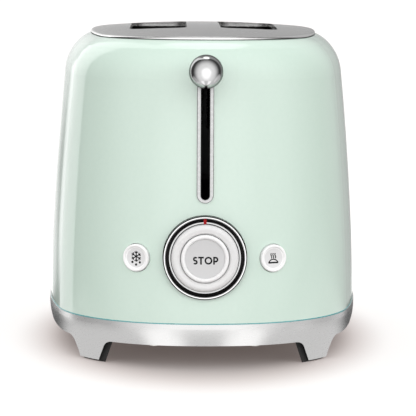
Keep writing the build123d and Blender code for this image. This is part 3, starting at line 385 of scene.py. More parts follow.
# Painted shade: the bead is coloured dark teal to draw the shade line at the seam.
seam_painted_shade = finish(
    "seam_painted_shade",
    colours=((0.10, 0.34, 0.35), (0.13, 0.38, 0.39)),
    roughness=(0.25, 0.35),
    fineness=600,
    relief=0.000002,
)
seam_shade_line = added_piece("shell_seam_shade", seam_shade_bm, seam_painted_shade)
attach(seam_shade_line, "toaster")

# Lever slot: a black moulded liner behind the front wall, and a thin bright chromed trim pressed into
# the slot from outside.
liner_black = finish(
    "liner_black",
    colours=((0.006, 0.009, 0.009), (0.010, 0.013, 0.013)),
    roughness=(0.55, 0.70),
    fineness=1200,
    relief=0.00001,
)
wear(liner_black, "slot_liner", "lever_stem")
trim_chrome = finish(
    "trim_chrome",
    colours=((0.39, 0.39, 0.39), (0.46, 0.46, 0.46)),
    roughness=(0.20, 0.28),
    fineness=500,
    relief=0.000001,
    metallic=1.0,
)
wear(trim_chrome, "lever_trim")


# Trim shade line: a thin black strip that lies on the enamel round the lever trim, as painted shade at the
# trim's edge. It is laid along the trim's outline, down on the curved wall.
def spun_ring(shape, ends, axis, steps):
    """Flat ring made by a full turn of the line between two points around an axis through the origin."""
    points = [shape.verts.new(end) for end in ends]
    line = shape.edges.new(points)
    bmesh.ops.spin(
        shape,
        geom=[*points, line],
        cent=(0, 0, 0),
        axis=axis,
        angle=math.tau,
        steps=steps,
        use_merge=True,
    )


SHADE_STRIP_STEPS = 48
SHADE_STRIP_CUTS = 23
SHADE_STRIP_WIDTH = 0.00028
SHADE_STRIP_LAP = 0.00010
SHADE_STRIP_PROUD = 0.00035
SHADE_STRIP_SINK = 0.00030
SHADE_STRIP_SIGHT = 0.00080
shell_mesh = nodes["body_shell"].data
shell_skin = BVHTree.FromPolygons(
    [vertex.co for vertex in shell_mesh.vertices], [face.vertices for face in shell_mesh.polygons]
)
trim_low, trim_high = (Vector(corner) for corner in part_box("lever_trim"))
trim_middle = (trim_low + trim_high) / 2
trim_round = (trim_high.x - trim_low.x) / 2
trim_straight = (trim_high.z - trim_low.z) / 2 - trim_round
shade_strip_bm = bmesh.new()
half_step = Matrix.Rotation(math.pi / SHADE_STRIP_STEPS, 3, "Y")
shade_strip_reaches = (trim_round - SHADE_STRIP_LAP, trim_round + SHADE_STRIP_WIDTH)
shade_strip_ends = [half_step @ Vector((reach, 0, 0)) for reach in shade_strip_reaches]
spun_ring(shade_strip_bm, shade_strip_ends, (0, 1, 0), SHADE_STRIP_STEPS)
for vertex in shade_strip_bm.verts:
    vertex.co.z += math.copysign(trim_straight, vertex.co.z)
sides = [edge for edge in shade_strip_bm.edges if edge.calc_length() > trim_straight]
bmesh.ops.subdivide_edges(shade_strip_bm, edges=sides, cuts=SHADE_STRIP_CUTS, use_grid_fill=True)
for vertex in shade_strip_bm.verts:
    spine = Vector((0, 0, max(-trim_straight, min(trim_straight, vertex.co.z))))
    sight = trim_middle + spine + (vertex.co - spine).normalized() * (trim_round + SHADE_STRIP_SIGHT)
    touch = shell_skin.ray_cast(Vector((sight.x, cad_box[0][1], sight.z)), Vector((0, 1, 0)))[0]
    vertex.co = Vector((trim_middle.x + vertex.co.x, touch.y + SHADE_STRIP_SINK, trim_middle.z + vertex.co.z))
raised = bmesh.ops.extrude_face_region(shade_strip_bm, geom=shade_strip_bm.faces[:], use_keep_orig=True)
tops = [part for part in raised["geom"] if isinstance(part, bmesh.types.BMVert)]
bmesh.ops.translate(shade_strip_bm, verts=tops, vec=(0, -SHADE_STRIP_SINK - SHADE_STRIP_PROUD, 0))
bmesh.ops.recalc_face_normals(shade_strip_bm, faces=shade_strip_bm.faces[:])
# The strip takes the black rubber colour as painted shade.
trim_shade_strip = added_piece("trim_shade_line", shade_strip_bm, rubber_and_shade)
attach(trim_shade_strip, "toaster")


# Top plate: a shallow dome pressed from stainless sheet and polished along its length, with two bread
# slots flanged downwards. Polishing leaves long fine streaks; a band round the rolled edge is coloured near
# white as a painted highlight, and the lower half of the flanges is coloured near black as painted shade
# inside the slots.
def distance_mask():
    """Shader group: tells inside from outside a reach around a centre, over scaled Object coordinates."""
    group = bpy.data.node_groups.new("distance_mask", "ShaderNodeTree")
    sockets = group.interface
    sockets.new_socket("Centre", in_out="INPUT", socket_type="NodeSocketVector")
    sockets.new_socket("Axis Scale", in_out="INPUT", socket_type="NodeSocketVector")
    sockets.new_socket("Reach", in_out="INPUT", socket_type="NodeSocketFloat")
    sockets.new_socket("Inside", in_out="OUTPUT", socket_type="NodeSocketFloat")
    sockets.new_socket("Outside", in_out="OUTPUT", socket_type="NodeSocketFloat")
    inlet = group.nodes.new("NodeGroupInput")
    outlet = group.nodes.new("NodeGroupOutput")
    place = group.nodes.new("ShaderNodeTexCoord")
    offset = group.nodes.new("ShaderNodeVectorMath")
    offset.operation = "SUBTRACT"
    scaled = group.nodes.new("ShaderNodeVectorMath")
    scaled.operation = "MULTIPLY"
    length = group.nodes.new("ShaderNodeVectorMath")
    length.operation = "LENGTH"
    inside = group.nodes.new("ShaderNodeMath")
    inside.operation = "LESS_THAN"
    outside = group.nodes.new("ShaderNodeMath")
    outside.operation = "SUBTRACT"
    outside.inputs[0].default_value = 1.0
    link = group.links.new
    link(place.outputs["Object"], offset.inputs[0])
    link(inlet.outputs["Centre"], offset.inputs[1])
    link(offset.outputs["Vector"], scaled.inputs[0])
    link(inlet.outputs["Axis Scale"], scaled.inputs[1])
    link(scaled.outputs["Vector"], length.inputs[0])
    link(length.outputs["Value"], inside.inputs[0])
    link(inlet.outputs["Reach"], inside.inputs[1])
    link(inside.outputs["Value"], outside.inputs[1])
    link(inside.outputs["Value"], outlet.inputs["Inside"])
    link(outside.outputs["Value"], outlet.inputs["Outside"])
    return group


disc_mask = distance_mask()


def inlay(material, centre, reach, colour, axis_scale=(1, 1, 1), where="Inside", rest=None):
    """Colours a material inside or outside a reach; with a rest named, only that rest stays metal."""
    tree = material.node_tree
    shader = tree.nodes["Principled BSDF"]
    mask = tree.nodes.new("ShaderNodeGroup")
    mask.node_tree = disc_mask
    mask.inputs["Centre"].default_value = centre
    mask.inputs["Axis Scale"].default_value = axis_scale
    mask.inputs["Reach"].default_value = reach
    tint = tree.nodes.new("ShaderNodeMix")
    tint.data_type = "RGBA"
    tint.inputs["B"].default_value = (*colour, 1)
    tree.links.new(mask.outputs[where], tint.inputs["Factor"])
    tree.links.new(shader.inputs["Base Color"].links[0].from_socket, tint.inputs["A"])
    tree.links.new(tint.outputs["Result"], shader.inputs["Base Color"])
    if rest is None:
        return
    metal = mask.outputs[rest]
    if shader.inputs["Metallic"].links:
        both = tree.nodes.new("ShaderNodeMath")
        both.operation = "MULTIPLY"
        tree.links.new(shader.inputs["Metallic"].links[0].from_socket, both.inputs[0])
        tree.links.new(metal, both.inputs[1])
        metal = both.outputs["Value"]
    tree.links.new(metal, shader.inputs["Metallic"])


plate_steel = finish(
    "polished_plate",
    colours=((0.63, 0.625, 0.62), (0.68, 0.675, 0.67)),
    roughness=(0.18, 0.24),
    fineness=14,
    relief=0.0000001,
    stretch=(90, 1, 90),
    metallic=1.0,
)
ACROSS_Z = (0, 0, 1)
EDGE_BRIGHT = 0.0015
EDGE_PAINTED_HIGHLIGHT = (0.95, 0.945, 0.94)
FLANGE_DARK = 0.0034
FLANGE_LAP = 0.0002
FLANGE_PAINTED_SHADE = (0.03, 0.028, 0.027)
plate_foot = Vector((0, 0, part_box("body_shell")[1][2]))
flange_middle = plate_foot - Vector((0, 0, FLANGE_DARK - FLANGE_LAP))
# Painted highlight: a band round the plate's rolled edge is coloured near white.
inlay(plate_steel, plate_foot, EDGE_BRIGHT, EDGE_PAINTED_HIGHLIGHT, ACROSS_Z)
# Painted shade: the flanges below the edge are coloured near black.
inlay(plate_steel, flange_middle, FLANGE_DARK, FLANGE_PAINTED_SHADE, ACROSS_Z)
wear(plate_steel, "top_plate")

# Plate shade line: a thin black strip between the plate's edge and the enamel, as painted shade in the gap.
# It is cut to the plate's outline and shows as a dark line under the bright edge.
PLATE_SHADE_HEIGHT = 0.00045
PLATE_SHADE_LIFT = 0.00001
PLATE_SHADE_PROUD = 0.00006
PLATE_SHADE_THICK = 0.0006
plate_shade_bm = joined_copy("top_plate")
cut_level(plate_shade_bm, plate_foot.z + PLATE_SHADE_HEIGHT, keep_below=True)
cut_level(plate_shade_bm, plate_foot.z + PLATE_SHADE_LIFT, keep_below=False)
edge_wall = {max(plate_shade_bm.verts, key=lambda vertex: vertex.co.x)}
reached = list(edge_wall)
while reached:
    touching = {edge.other_vert(vertex) for vertex in reached for edge in vertex.link_edges}
    reached = list(touching - edge_wall)
    edge_wall |= touching
flanges = [vertex for vertex in plate_shade_bm.verts if vertex not in edge_wall]
bmesh.ops.delete(plate_shade_bm, geom=flanges, context="VERTS")
stand_proud(plate_shade_bm, PLATE_SHADE_PROUD)
bmesh.ops.solidify(plate_shade_bm, geom=plate_shade_bm.faces[:], thickness=PLATE_SHADE_THICK)
bmesh.ops.recalc_face_normals(plate_shade_bm, faces=plate_shade_bm.faces[:])
# The strip takes the black rubber colour as painted shade.
plate_shade_strip = added_piece("plate_shade_line", plate_shade_bm, rubber_and_shade)
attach(plate_shade_strip, "toaster")

# Lever knob: a turned and chromed brass ball, screwed onto the end of the stem in front of the slot.
# It is polished, so it mirrors the room.
chrome = finish(
    "bright_chrome",
    colours=((0.64, 0.64, 0.64), (0.68, 0.68, 0.68)),
    roughness=(0.10, 0.13),
    fineness=300,
    relief=0.0000006,
    metallic=1.0,
)
gloss(chrome, {"Specular Tint": (0.12, 0.12, 0.12, 1)})
wear(chrome, "lever_knob")

# Dial: a fixed chromed bezel, coloured black in its well and round its outer edge on the enamel as painted
# shade, a turning chromed skirt with a red pointer and painted shade in its groove under the knob, and a
# white moulded knob on the skirt.
bezel_low, bezel_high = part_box("dial_bezel")
dial_middle = (Vector(bezel_low) + Vector(bezel_high)) / 2
WELL_SHADE_RADIUS = 0.02342
OUTLINE_SHADE_RADIUS = 0.02442
PAINTED_SHADE_BLACK = (0.008, 0.008, 0.008)
AROUND_Y = (1, 0, 1)
bezel_chrome = finish(
    "bezel_chrome",
    colours=((0.80, 0.80, 0.80), (0.84, 0.84, 0.84)),
    roughness=(0.10, 0.13),
    fineness=300,
    relief=0.0000006,
    metallic=1.0,
)
# Painted shade: the bezel's well is coloured black.
inlay(bezel_chrome, dial_middle, WELL_SHADE_RADIUS, PAINTED_SHADE_BLACK, AROUND_Y, rest="Outside")
# Painted shade: the bezel's outer edge on the enamel is coloured black.
inlay(bezel_chrome, dial_middle, OUTLINE_SHADE_RADIUS, PAINTED_SHADE_BLACK, AROUND_Y, where="Outside", rest="Inside")
gloss(bezel_chrome, {"Specular IOR Level": 0.1})
wear(bezel_chrome, "dial_bezel")
SKIRT_GROOVE_SHADE = 0.0205
skirt_chrome = finish(
    "skirt_chrome",
    colours=((0.44, 0.44, 0.44), (0.50, 0.50, 0.50)),
    roughness=(0.14, 0.18),
    fineness=400,
    relief=0.0000006,
    metallic=1.0,
)
# Painted shade: the skirt under the knob's edge is coloured black.
inlay(skirt_chrome, dial_middle, SKIRT_GROOVE_SHADE, PAINTED_SHADE_BLACK, AROUND_Y, rest="Outside")
gloss(skirt_chrome, {"Specular IOR Level": 0.1})
wear(skirt_chrome, "dial_skirt")
cap_white = finish(
    "cap_white",
    colours=((0.72, 0.72, 0.72), (0.75, 0.75, 0.75)),
    roughness=(0.28, 0.36),
    fineness=900,
    relief=0.000003,
)
wear(cap_white, "dial_knob")
pointer_red = finish(
    "pointer_red",
    colours=((0.30, 0.004, 0.006), (0.36, 0.006, 0.008)),
    roughness=(0.25, 0.35),
    fineness=900,
    relief=0.000003,
)
gloss(pointer_red, {"Specular IOR Level": 0.15})
wear(pointer_red, "dial_pointer")


# Stop button: a white moulded cap in the middle of the dial with a raised rim and a grey dished face.
# The word on it is printed in dark ink, in plain round capitals.
def cap_face(name, outward):
    """Point on a round cap's axis, level with its highest rim, from the vertices of its node."""
    sideways = Vector((0, 0, 1)).cross(outward)
    reach = [vertex.co.dot(sideways) for vertex in nodes[name].data.vertices]
    rise = [vertex.co.z for vertex in nodes[name].data.vertices]
    depth = [vertex.co.dot(outward) for vertex in nodes[name].data.vertices]
    middle = sideways * (min(reach) + max(reach)) / 2 + Vector((0, 0, 1)) * (min(rise) + max(rise)) / 2
    return middle + outward * max(depth)


def stroke(ink, start, stop, width):
    """Flat straight stroke of a printed sign."""
    run = Vector(stop) - Vector(start)
    place = (
        Matrix.Translation((Vector(start) + run / 2).to_3d())
        @ Matrix.Rotation(math.atan2(run.y, run.x), 4, "Z")
        @ Matrix.Diagonal((run.length, width, 1, 1))
    )
    bmesh.ops.create_grid(ink, x_segments=STROKE_STEPS, y_segments=1, size=0.5, matrix=place)


def bow(ink, centre, radius, width, start, sweep):
    """Flat round stroke of a printed sign, from a bearing in degrees through a sweep in degrees."""
    heading = Vector((math.cos(math.radians(start)), math.sin(math.radians(start)), 0))
    middle = Vector((*centre, 0))
    ends = [ink.verts.new(middle + heading * (radius + side * width / 2)) for side in (-1, 1)]
    edge = ink.edges.new(ends)
    bmesh.ops.spin(
        ink,
        geom=[*ends, edge],
        cent=middle,
        axis=(0, 0, 1),
        angle=math.radians(sweep),
        steps=max(BOW_STEPS, int(abs(sweep) / BOW_DEGREES)),
        use_merge=abs(sweep) == 360,
    )


def spot(ink, centre, radius):
    """Flat round dot of a printed sign."""
    place = Matrix.Translation((*centre, 0))
    bmesh.ops.create_circle(ink, cap_ends=True, segments=SPOT_STEPS, radius=radius, matrix=place)


def print_sign(ink, name, face, outward, dish, body):
    """Gives a flat sign the thickness of its ink, lays it into a dished face and lets it ride on a body."""
    dish_radius, dish_depth, dish_drop = dish
    ball = (dish_radius**2 + dish_depth**2) / (2 * dish_depth)
    sideways = Vector((0, 0, 1)).cross(outward)
    bmesh.ops.remove_doubles(ink, verts=ink.verts[:], dist=INK_REACH)
    raised = bmesh.ops.extrude_face_region(ink, geom=ink.faces[:], use_keep_orig=True)
    tops = [part for part in raised["geom"] if isinstance(part, bmesh.types.BMVert)]
    bmesh.ops.translate(ink, verts=tops, vec=(0, 0, INK_HEIGHT))
    bmesh.ops.recalc_face_normals(ink, faces=ink.faces[:])
    for vertex in ink.verts:
        across, up, height = vertex.co
        hollow = ball - math.sqrt(ball**2 - across**2 - up**2)
        out = hollow - dish_drop + height - INK_SINK
        vertex.co = face + sideways * across + Vector((0, 0, up)) + outward * out
    sign = added_piece(name, ink, print_ink)
    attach(sign, body)


STROKE_STEPS = 4
BOW_STEPS = 6
BOW_DEGREES = 10
SPOT_STEPS = 20
INK_REACH = 0.000002
INK_HEIGHT = 0.00006
INK_SINK = 0.00002
print_ink = finish(
    "print_ink",
    colours=((0.010, 0.010, 0.011), (0.016, 0.016, 0.017)),
    roughness=(0.55, 0.70),
    fineness=2500,
    relief=0.000002,
)
gloss(print_ink, {"Specular IOR Level": 0.15})
FACE_GREY = (0.60, 0.60, 0.605)
FORWARD = Vector((0, -1, 0))
STOP_DISH = (0.0117, 0.0005, 0.0018)
STOP_GREY_REACH = 0.0118
stop_face = cap_face("stop_button", FORWARD)
stop_cap = finish(
    "stop_cap",
    colours=((0.83, 0.83, 0.83), (0.86, 0.86, 0.86)),
    roughness=(0.28, 0.36),
    fineness=900,
    relief=0.000003,
)
inlay(stop_cap, stop_face, STOP_GREY_REACH, FACE_GREY, AROUND_Y)
wear(stop_cap, "stop_button")

CAPITAL = 0.00464
PEN = 0.00098
S_MIDDLE = -0.00575
S_START = 35
S_SWEEP = 235
T_MIDDLE = -0.00240
T_ARM = 0.0017
O_MIDDLE = 0.00200
P_LEFT = 0.00480
P_OVERLAP = 0.95
P_ARM = 0.0004
P_BELLY = 0.00118
WORD_DROP = 0.0011
half = CAPITAL / 2
top_line = half - PEN / 2
s_bow = (CAPITAL - PEN) / 4
p_stem = P_LEFT + PEN / 2
p_bow = P_LEFT + PEN + P_ARM
word = bmesh.new()
bow(word, (S_MIDDLE, s_bow), s_bow, PEN, S_START, S_SWEEP)
bow(word, (S_MIDDLE, -s_bow), s_bow, PEN, 90, -S_SWEEP)
stroke(word, (T_MIDDLE - T_ARM, top_line), (T_MIDDLE + T_ARM, top_line), PEN)
stroke(word, (T_MIDDLE, half - PEN), (T_MIDDLE, -half), PEN)
bow(word, (O_MIDDLE, 0), top_line, PEN, 0, 360)
stroke(word, (p_stem, -half), (p_stem, half), PEN)
for line in (top_line, top_line - 2 * P_BELLY):
    stroke(word, (P_LEFT + PEN * P_OVERLAP, line), (p_bow, line), PEN)
bow(word, (p_bow, top_line - P_BELLY), P_BELLY, PEN, -90, 180)
bmesh.ops.translate(word, verts=word.verts[:], vec=(0, -WORD_DROP, 0))
print_sign(word, "stop_word", stop_face, FORWARD, STOP_DISH, "stop")


# Side buttons: two small white caps, square to the rounded wall, each with a rim and a grey dished face.
# The left one carries a printed frost sign and the right one a printed warming sign.
def frost_sign():
    """Flat frost flake with six forked arms, over three drops."""
    sign = bmesh.new()
    hub = Vector((0, HUB_RISE))
    spot(sign, hub, HUB_RADIUS)
    for arm in range(FLAKE_ARMS):
        turn = math.tau * arm / FLAKE_ARMS
        heading = Vector((math.sin(turn), math.cos(turn)))
        stroke(sign, hub + heading * ARM_START, hub + heading * ARM_END, SIGN_PEN)
        for lean in (-TWIG_LEAN, TWIG_LEAN):
            twig = heading.copy()
            twig.rotate(Matrix.Rotation(math.radians(lean), 2))
            fork = hub + heading * TWIG_AT + twig * SIGN_PEN * TWIG_GAP
            stroke(sign, fork, fork + twig * TWIG_LENGTH, SIGN_PEN)
    for drop in DROPS:
        spot(sign, drop, DROP_RADIUS)
    return sign


def warming_sign():
    """Flat roll on a board, with three waves of heat above it."""
    sign = bmesh.new()
    for wave in (-WAVE_STEP, 0, WAVE_STEP):
        bow(sign, (wave - WAVE_SIDE, WAVE_LOW), WAVE_RADIUS, SIGN_PEN, -WAVE_TURN, 2 * WAVE_TURN)
        bow(sign, (wave + WAVE_SIDE, WAVE_HIGH), WAVE_RADIUS, SIGN_PEN, 180 + WAVE_TURN, -2 * WAVE_TURN)
    bow(sign, (0, ROLL_HEIGHT), ROLL_RADIUS, SIGN_PEN, ROLL_START, ROLL_SWEEP)
    stroke(sign, (-BOARD_HALF, BOARD_HEIGHT), (BOARD_HALF, BOARD_HEIGHT), BOARD_PEN)
    return sign


SIDE_DISH = (0.0065, 0.0005, 0.0014)
SIDE_RIM = 0.0006
SIDE_GREY = (0.725, 0.725, 0.73)
SIGN_PEN = 0.00064
HUB_RISE = 0.0008
HUB_RADIUS = 0.0007
FLAKE_ARMS = 6
ARM_START = 0.0006
ARM_END = 0.0033
TWIG_AT = 0.0019
TWIG_LEAN = 50
TWIG_GAP = 0.4
TWIG_LENGTH = 0.0011
DROPS = ((-0.0024, -0.0027), (0, -0.0041), (0.0024, -0.0027))
DROP_RADIUS = 0.00072
WAVE_STEP = 0.0013
WAVE_SIDE = 0.0010
WAVE_LOW = 0.0006
WAVE_HIGH = 0.0022
WAVE_RADIUS = 0.00128
WAVE_TURN = 38.7
ROLL_HEIGHT = -0.0041
ROLL_RADIUS = 0.0034
ROLL_START = 24
ROLL_SWEEP = 132
BOARD_HALF = 0.0032
BOARD_HEIGHT = -0.0027
BOARD_PEN = SIGN_PEN * 1.5
push = {joint["name"]: Vector(joint["axis"]) for joint in frame["joints"]}
for name, draw_sign in (("defrost", frost_sign), ("reheat", warming_sign)):
    outward = -push[name + "_push"].normalized()
    face = cap_face(name + "_button", outward)
    cap = finish(
        name + "_cap",
        colours=((0.91, 0.91, 0.91), (0.93, 0.93, 0.93)),
        roughness=(0.28, 0.36),
        fineness=900,
        relief=0.000003,
    )
    inlay(cap, face - outward * SIDE_DISH[2], SIDE_DISH[0] - SIDE_RIM, SIDE_GREY)
    wear(cap, name + "_button")
    print_sign(draw_sign(), name + "_sign", face, outward, SIDE_DISH, name)

# Studio: a floor of white paper that runs far back behind the object. It takes the object's shadow, and for
# the eye
# and the mirrors it glows: dim and warm close to the base, as painted shade round it, and farther out up to
# plain white.
FLOOR_HALF = 30
PAPER_COLOUR = (0.41, 0.388, 0.380, 1)
PAPER_SHADE_TINT = (1, 0.80, 0.74, 1)
PAPER_FAR = (1, 1, 1, 1)
PAPER_OVAL = (1.85, 1, 1)
PAPER_FADE = (0.13, 0.23)
PAPER_DIM = 0.09
PAPER_LIFT = 0.49
floor_bm = bmesh.new()
bmesh.ops.create_grid(floor_bm, x_segments=1, y_segments=1, size=FLOOR_HALF)
paper = bpy.data.materials.new("floor_paper")
paper.use_nodes = True
paper_tree = paper.node_tree
paper_shader = paper_tree.nodes["Principled BSDF"]
paper_shader.inputs["Base Color"].default_value = PAPER_COLOUR
paper_shader.inputs["Roughness"].default_value = 0.9
paper_shader.inputs["Specular IOR Level"].default_value = 0.0
paper_place = paper_tree.nodes.new("ShaderNodeTexCoord")
paper_spread = paper_tree.nodes.new("ShaderNodeVectorMath")
paper_spread.operation = "MULTIPLY"
paper_spread.inputs[1].default_value = PAPER_OVAL
paper_reach = paper_tree.nodes.new("ShaderNodeVectorMath")
paper_reach.operation = "LENGTH"
# Painted shade: close to the base the glow is dimmer and warm, which darkens the floor round the object.
paper_fade = paper_tree.nodes.new("ShaderNodeMapRange")
paper_fade.interpolation_type = "SMOOTHSTEP"
paper_fade.inputs["From Min"].default_value = PAPER_FADE[0]
paper_fade.inputs["From Max"].default_value = PAPER_FADE[1]
paper_lift = paper_tree.nodes.new("ShaderNodeMath")
paper_lift.operation = "MULTIPLY_ADD"
paper_lift.inputs[1].default_value = PAPER_LIFT
paper_lift.inputs[2].default_value = PAPER_DIM
paper_tint = paper_tree.nodes.new("ShaderNodeMix")
paper_tint.data_type = "RGBA"
paper_tint.inputs["A"].default_value = PAPER_SHADE_TINT
paper_tint.inputs["B"].default_value = PAPER_FAR
paper_seen = paper_tree.nodes.new("ShaderNodeLightPath")
paper_mirror = paper_tree.nodes.new("ShaderNodeMath")
paper_mirror.operation = "MAXIMUM"
paper_glass = paper_tree.nodes.new("ShaderNodeMath")
paper_glass.operation = "MAXIMUM"
paper_glow = paper_tree.nodes.new("ShaderNodeMath")
paper_glow.operation = "MULTIPLY"
paper_link = paper_tree.links.new
paper_link(paper_place.outputs["Object"], paper_spread.inputs[0])
paper_link(paper_spread.outputs["Vector"], paper_reach.inputs[0])
paper_link(paper_reach.outputs["Value"], paper_fade.inputs["Value"])
paper_link(paper_fade.outputs["Result"], paper_tint.inputs["Factor"])
paper_link(paper_tint.outputs["Result"], paper_shader.inputs["Emission Color"])
paper_link(paper_seen.outputs["Is Camera Ray"], paper_mirror.inputs[0])
paper_link(paper_seen.outputs["Is Glossy Ray"], paper_mirror.inputs[1])
paper_link(paper_mirror.outputs["Value"], paper_glass.inputs[0])
paper_link(paper_seen.outputs["Is Transmission Ray"], paper_glass.inputs[1])
paper_link(paper_glass.outputs["Value"], paper_glow.inputs[0])
paper_link(paper_fade.outputs["Result"], paper_lift.inputs[0])
paper_link(paper_lift.outputs["Value"], paper_glow.inputs[1])
paper_link(paper_glow.outputs["Value"], paper_shader.inputs["Emission Strength"])
floor = added_piece("floor", floor_bm, paper)


# Room light: a soft ceiling light from behind and above that throws the shadow forwards, a wide soft
# fill from the front, a softer one from each side, and dim walls all around.
def soft_lights(tree, dim, lights):
    """Sum of round soft lights over a dim rest, each full inside one angle and gone past the other."""
    total = dim
    for heading, way, inner, outer, strength in lights:
        facing = tree.nodes.new("ShaderNodeVectorMath")
        facing.operation = "DOT_PRODUCT"
        facing.inputs[1].default_value = Vector(way).normalized()
        fade = tree.nodes.new("ShaderNodeMapRange")
        fade.interpolation_type = "SMOOTHSTEP"
        fade.inputs["From Min"].default_value = math.cos(math.radians(outer))
        fade.inputs["From Max"].default_value = math.cos(math.radians(inner))
        fade.inputs["To Max"].default_value = strength
        both = tree.nodes.new("ShaderNodeMath")
        tree.links.new(heading, facing.inputs[0])
        tree.links.new(facing.outputs["Value"], fade.inputs["Value"])
        tree.links.new(fade.outputs["Result"], both.inputs[0])
        if total is dim:
            both.inputs[1].default_value = dim
        else:
            tree.links.new(total, both.inputs[1])
        total = both.outputs["Value"]
    return total


ROOM_DIM = 0.30
world = bpy.data.worlds.new("studio")
bpy.context.scene.world = world
world.use_nodes = True
room = world.node_tree
room_way = room.nodes.new("ShaderNodeTexCoord").outputs["Generated"]
room_lights = (
    (room_way, (-0.12, 0.52, 0.85), 20, 55, 1.45),
    (room_way, (0.08, -1, 0.12), 15, 60, 1.5),
    (room_way, (0.1, -0.8, 0.60), 10, 45, 0.70),
    (room_way, (-1, -0.15, 0.25), 15, 50, 0.9),
    (room_way, (1, -0.15, 0.25), 15, 50, 1.15),
)
room_sum = soft_lights(room, ROOM_DIM, room_lights)
room.links.new(room_sum, room.nodes["Background"].inputs["Strength"])
room.nodes["Background"].inputs["Color"].default_value = (1, 1, 1, 1)


# Reflection tent: paper screens around the object that only its polished surfaces see. They are pale in
# front and overhead and grey to dark at the sides, with a panel at the left, low lights at the sides and
# behind, and a gap to the white paper around the base.
def tent_screen(name, screen_bm):
    """Stage screen that only mirrors see; gives back its shader tree and the socket of its strength."""
    made = bpy.data.materials.new(name)
    made.use_nodes = True
    made.cycles.emission_sampling = "NONE"
    tree = made.node_tree
    tree.nodes.remove(tree.nodes["Principled BSDF"])
    light = tree.nodes.new("ShaderNodeEmission")
    tree.links.new(light.outputs["Emission"], tree.nodes["Material Output"].inputs["Surface"])
    screen = added_piece(name, screen_bm, made)
    screen.visible_camera = False
    screen.visible_diffuse = False
    screen.visible_transmission = False
    screen.visible_volume_scatter = False
    screen.visible_shadow = False
    return tree, light.inputs["Strength"]


def seen_from(tree, point):
    """Direction in which a screen is seen from a point of the object."""
    place = tree.nodes.new("ShaderNodeTexCoord")
    offset = tree.nodes.new("ShaderNodeVectorMath")
    offset.operation = "SUBTRACT"
    offset.inputs[1].default_value = point
    heading = tree.nodes.new("ShaderNodeVectorMath")
    heading.operation = "NORMALIZE"
    tree.links.new(place.outputs["Object"], offset.inputs[0])
    tree.links.new(offset.outputs["Vector"], heading.inputs[0])
    return heading.outputs["Vector"]


def flat_heading(tree, heading):
    """The heading with its rise taken out, for lights that stand as upright panels."""
    level = tree.nodes.new("ShaderNodeVectorMath")
    level.operation = "MULTIPLY"
    level.inputs[1].default_value = (1, 1, 0)
    straight = tree.nodes.new("ShaderNodeVectorMath")
    straight.operation = "NORMALIZE"
    tree.links.new(heading, level.inputs[0])
    tree.links.new(level.outputs["Vector"], straight.inputs[0])
    return straight.outputs["Vector"]


TENT_RADIUS = 0.7
TENT_FLOOR = 0.25
TENT_HOLE = 0.145
TENT_SLIM = 0.7
TENT_LIFT = 0.0005
TENT_STEPS = 48
TENT_SLACK = 0.001
UPWARD = (0, 0, 1)
FRONT_WALL = (0, -0.10, 0.12)
LEFT_WALL = (-0.10, -0.09, 0.12)
DOME_DIM = 0.05
APRON_DIM = 0.06
dome_bm = bmesh.new()
bmesh.ops.create_uvsphere(dome_bm, u_segments=TENT_STEPS, v_segments=TENT_STEPS // 2, radius=TENT_RADIUS)
below = [vertex for vertex in dome_bm.verts if vertex.co.z < -TENT_SLACK]
bmesh.ops.delete(dome_bm, geom=below, context="VERTS")
spun_ring(dome_bm, [(0, -TENT_FLOOR, TENT_LIFT), (0, -TENT_RADIUS, TENT_LIFT)], UPWARD, TENT_STEPS)
low = [vertex for vertex in dome_bm.verts if vertex.co.z < TENT_SLACK]
inner_rim = [vertex for vertex in low if vertex.co.xy.length < TENT_FLOOR + TENT_SLACK]
bmesh.ops.scale(dome_bm, vec=(TENT_SLIM, 1, 1), verts=inner_rim)
dome, dome_strength = tent_screen("tent_dome", dome_bm)
heading = seen_from(dome, FRONT_WALL)
upright = flat_heading(dome, heading)
beside = seen_from(dome, LEFT_WALL)
beside_upright = flat_heading(dome, beside)
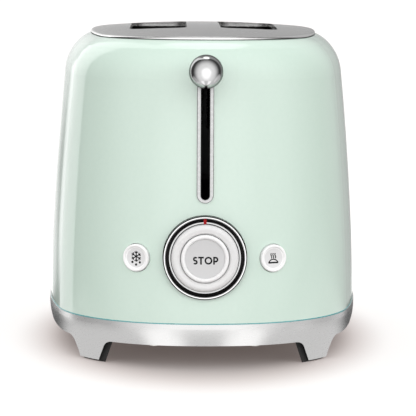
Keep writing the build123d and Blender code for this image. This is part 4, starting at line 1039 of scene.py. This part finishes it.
dome_lights = (
    (heading, (0, -1, 0), 40, 96, 1.0),
    (heading, (0, -1, 0), 8, 40, 0.65),
    (heading, (0, 0.24, 0.97), 10, 15, 1.6),
    (heading, (0, 0.995, -0.06), 4, 15, 0.58),
    (beside, (0, 0.97, -0.24), 10, 18, 0.55),
    (beside, (-0.40, 0.80, 0.45), 16, 32, 0.32),
    (beside, (-0.16, 0.98, 0.10), 3, 12, 0.42),
    (upright, (0.30, 0.95, 0), 22, 58, 0.38),
    (heading, (0, 0.80, -0.60), 23, 30, 0.85),
    (heading, (0.80, 0.15, -0.60), 20, 34, 0.60),
    (heading, (-0.80, 0.15, -0.60), 16, 26, 0.45),
    (beside_upright, (-0.60, 0.80, 0), 18, 20.5, 1.05),
)
dome.links.new(soft_lights(dome, DOME_DIM, dome_lights), dome_strength)

apron_bm = bmesh.new()
spun_ring(apron_bm, [(0, -TENT_HOLE, TENT_LIFT), (0, -TENT_FLOOR, TENT_LIFT)], UPWARD, TENT_STEPS)
bmesh.ops.scale(apron_bm, vec=(TENT_SLIM, 1, 1), verts=apron_bm.verts[:])
apron, apron_strength = tent_screen("tent_apron", apron_bm)
upright = flat_heading(apron, seen_from(apron, FRONT_WALL))
apron_lights = (
    (upright, (0, -1, 0), 105, 136, 0.72),
    (upright, (0, 1, 0), 17, 29, 0.70),
    (upright, (-0.50, -0.87, 0), 4, 20, 0.60),
    (upright, (0.50, -0.87, 0), 4, 20, 0.60),
)
apron.links.new(soft_lights(apron, APRON_DIM, apron_lights), apron_strength)

# Camera: a long lens about 1.6 m in front of the object, a little left of its middle and higher than its
# top plate. It looks down by about six degrees.
SENSOR_WIDTH = 36.0
LENS = 213.48
FARTHEST = 100
EYE_PLACE = (-0.0219, -1.5869, 0.2610)
EYE_PAN = -0.931
EYE_TILT = 83.537
EYE_ROLL = 0.31
camera = bpy.data.cameras.new("camera")
camera.sensor_width = SENSOR_WIDTH
camera.lens = LENS
camera.clip_end = FARTHEST
eye = bpy.data.objects.new("camera", camera)
eye.matrix_world = (
    Matrix.Translation(EYE_PLACE)
    @ Matrix.Rotation(math.radians(EYE_PAN), 4, "Z")
    @ Matrix.Rotation(math.radians(EYE_TILT), 4, "X")
    @ Matrix.Rotation(math.radians(EYE_ROLL), 4, "Z")
)
bpy.context.scene.collection.objects.link(eye)
bpy.context.scene.camera = eye
bpy.context.scene.view_settings.view_transform = "Standard"
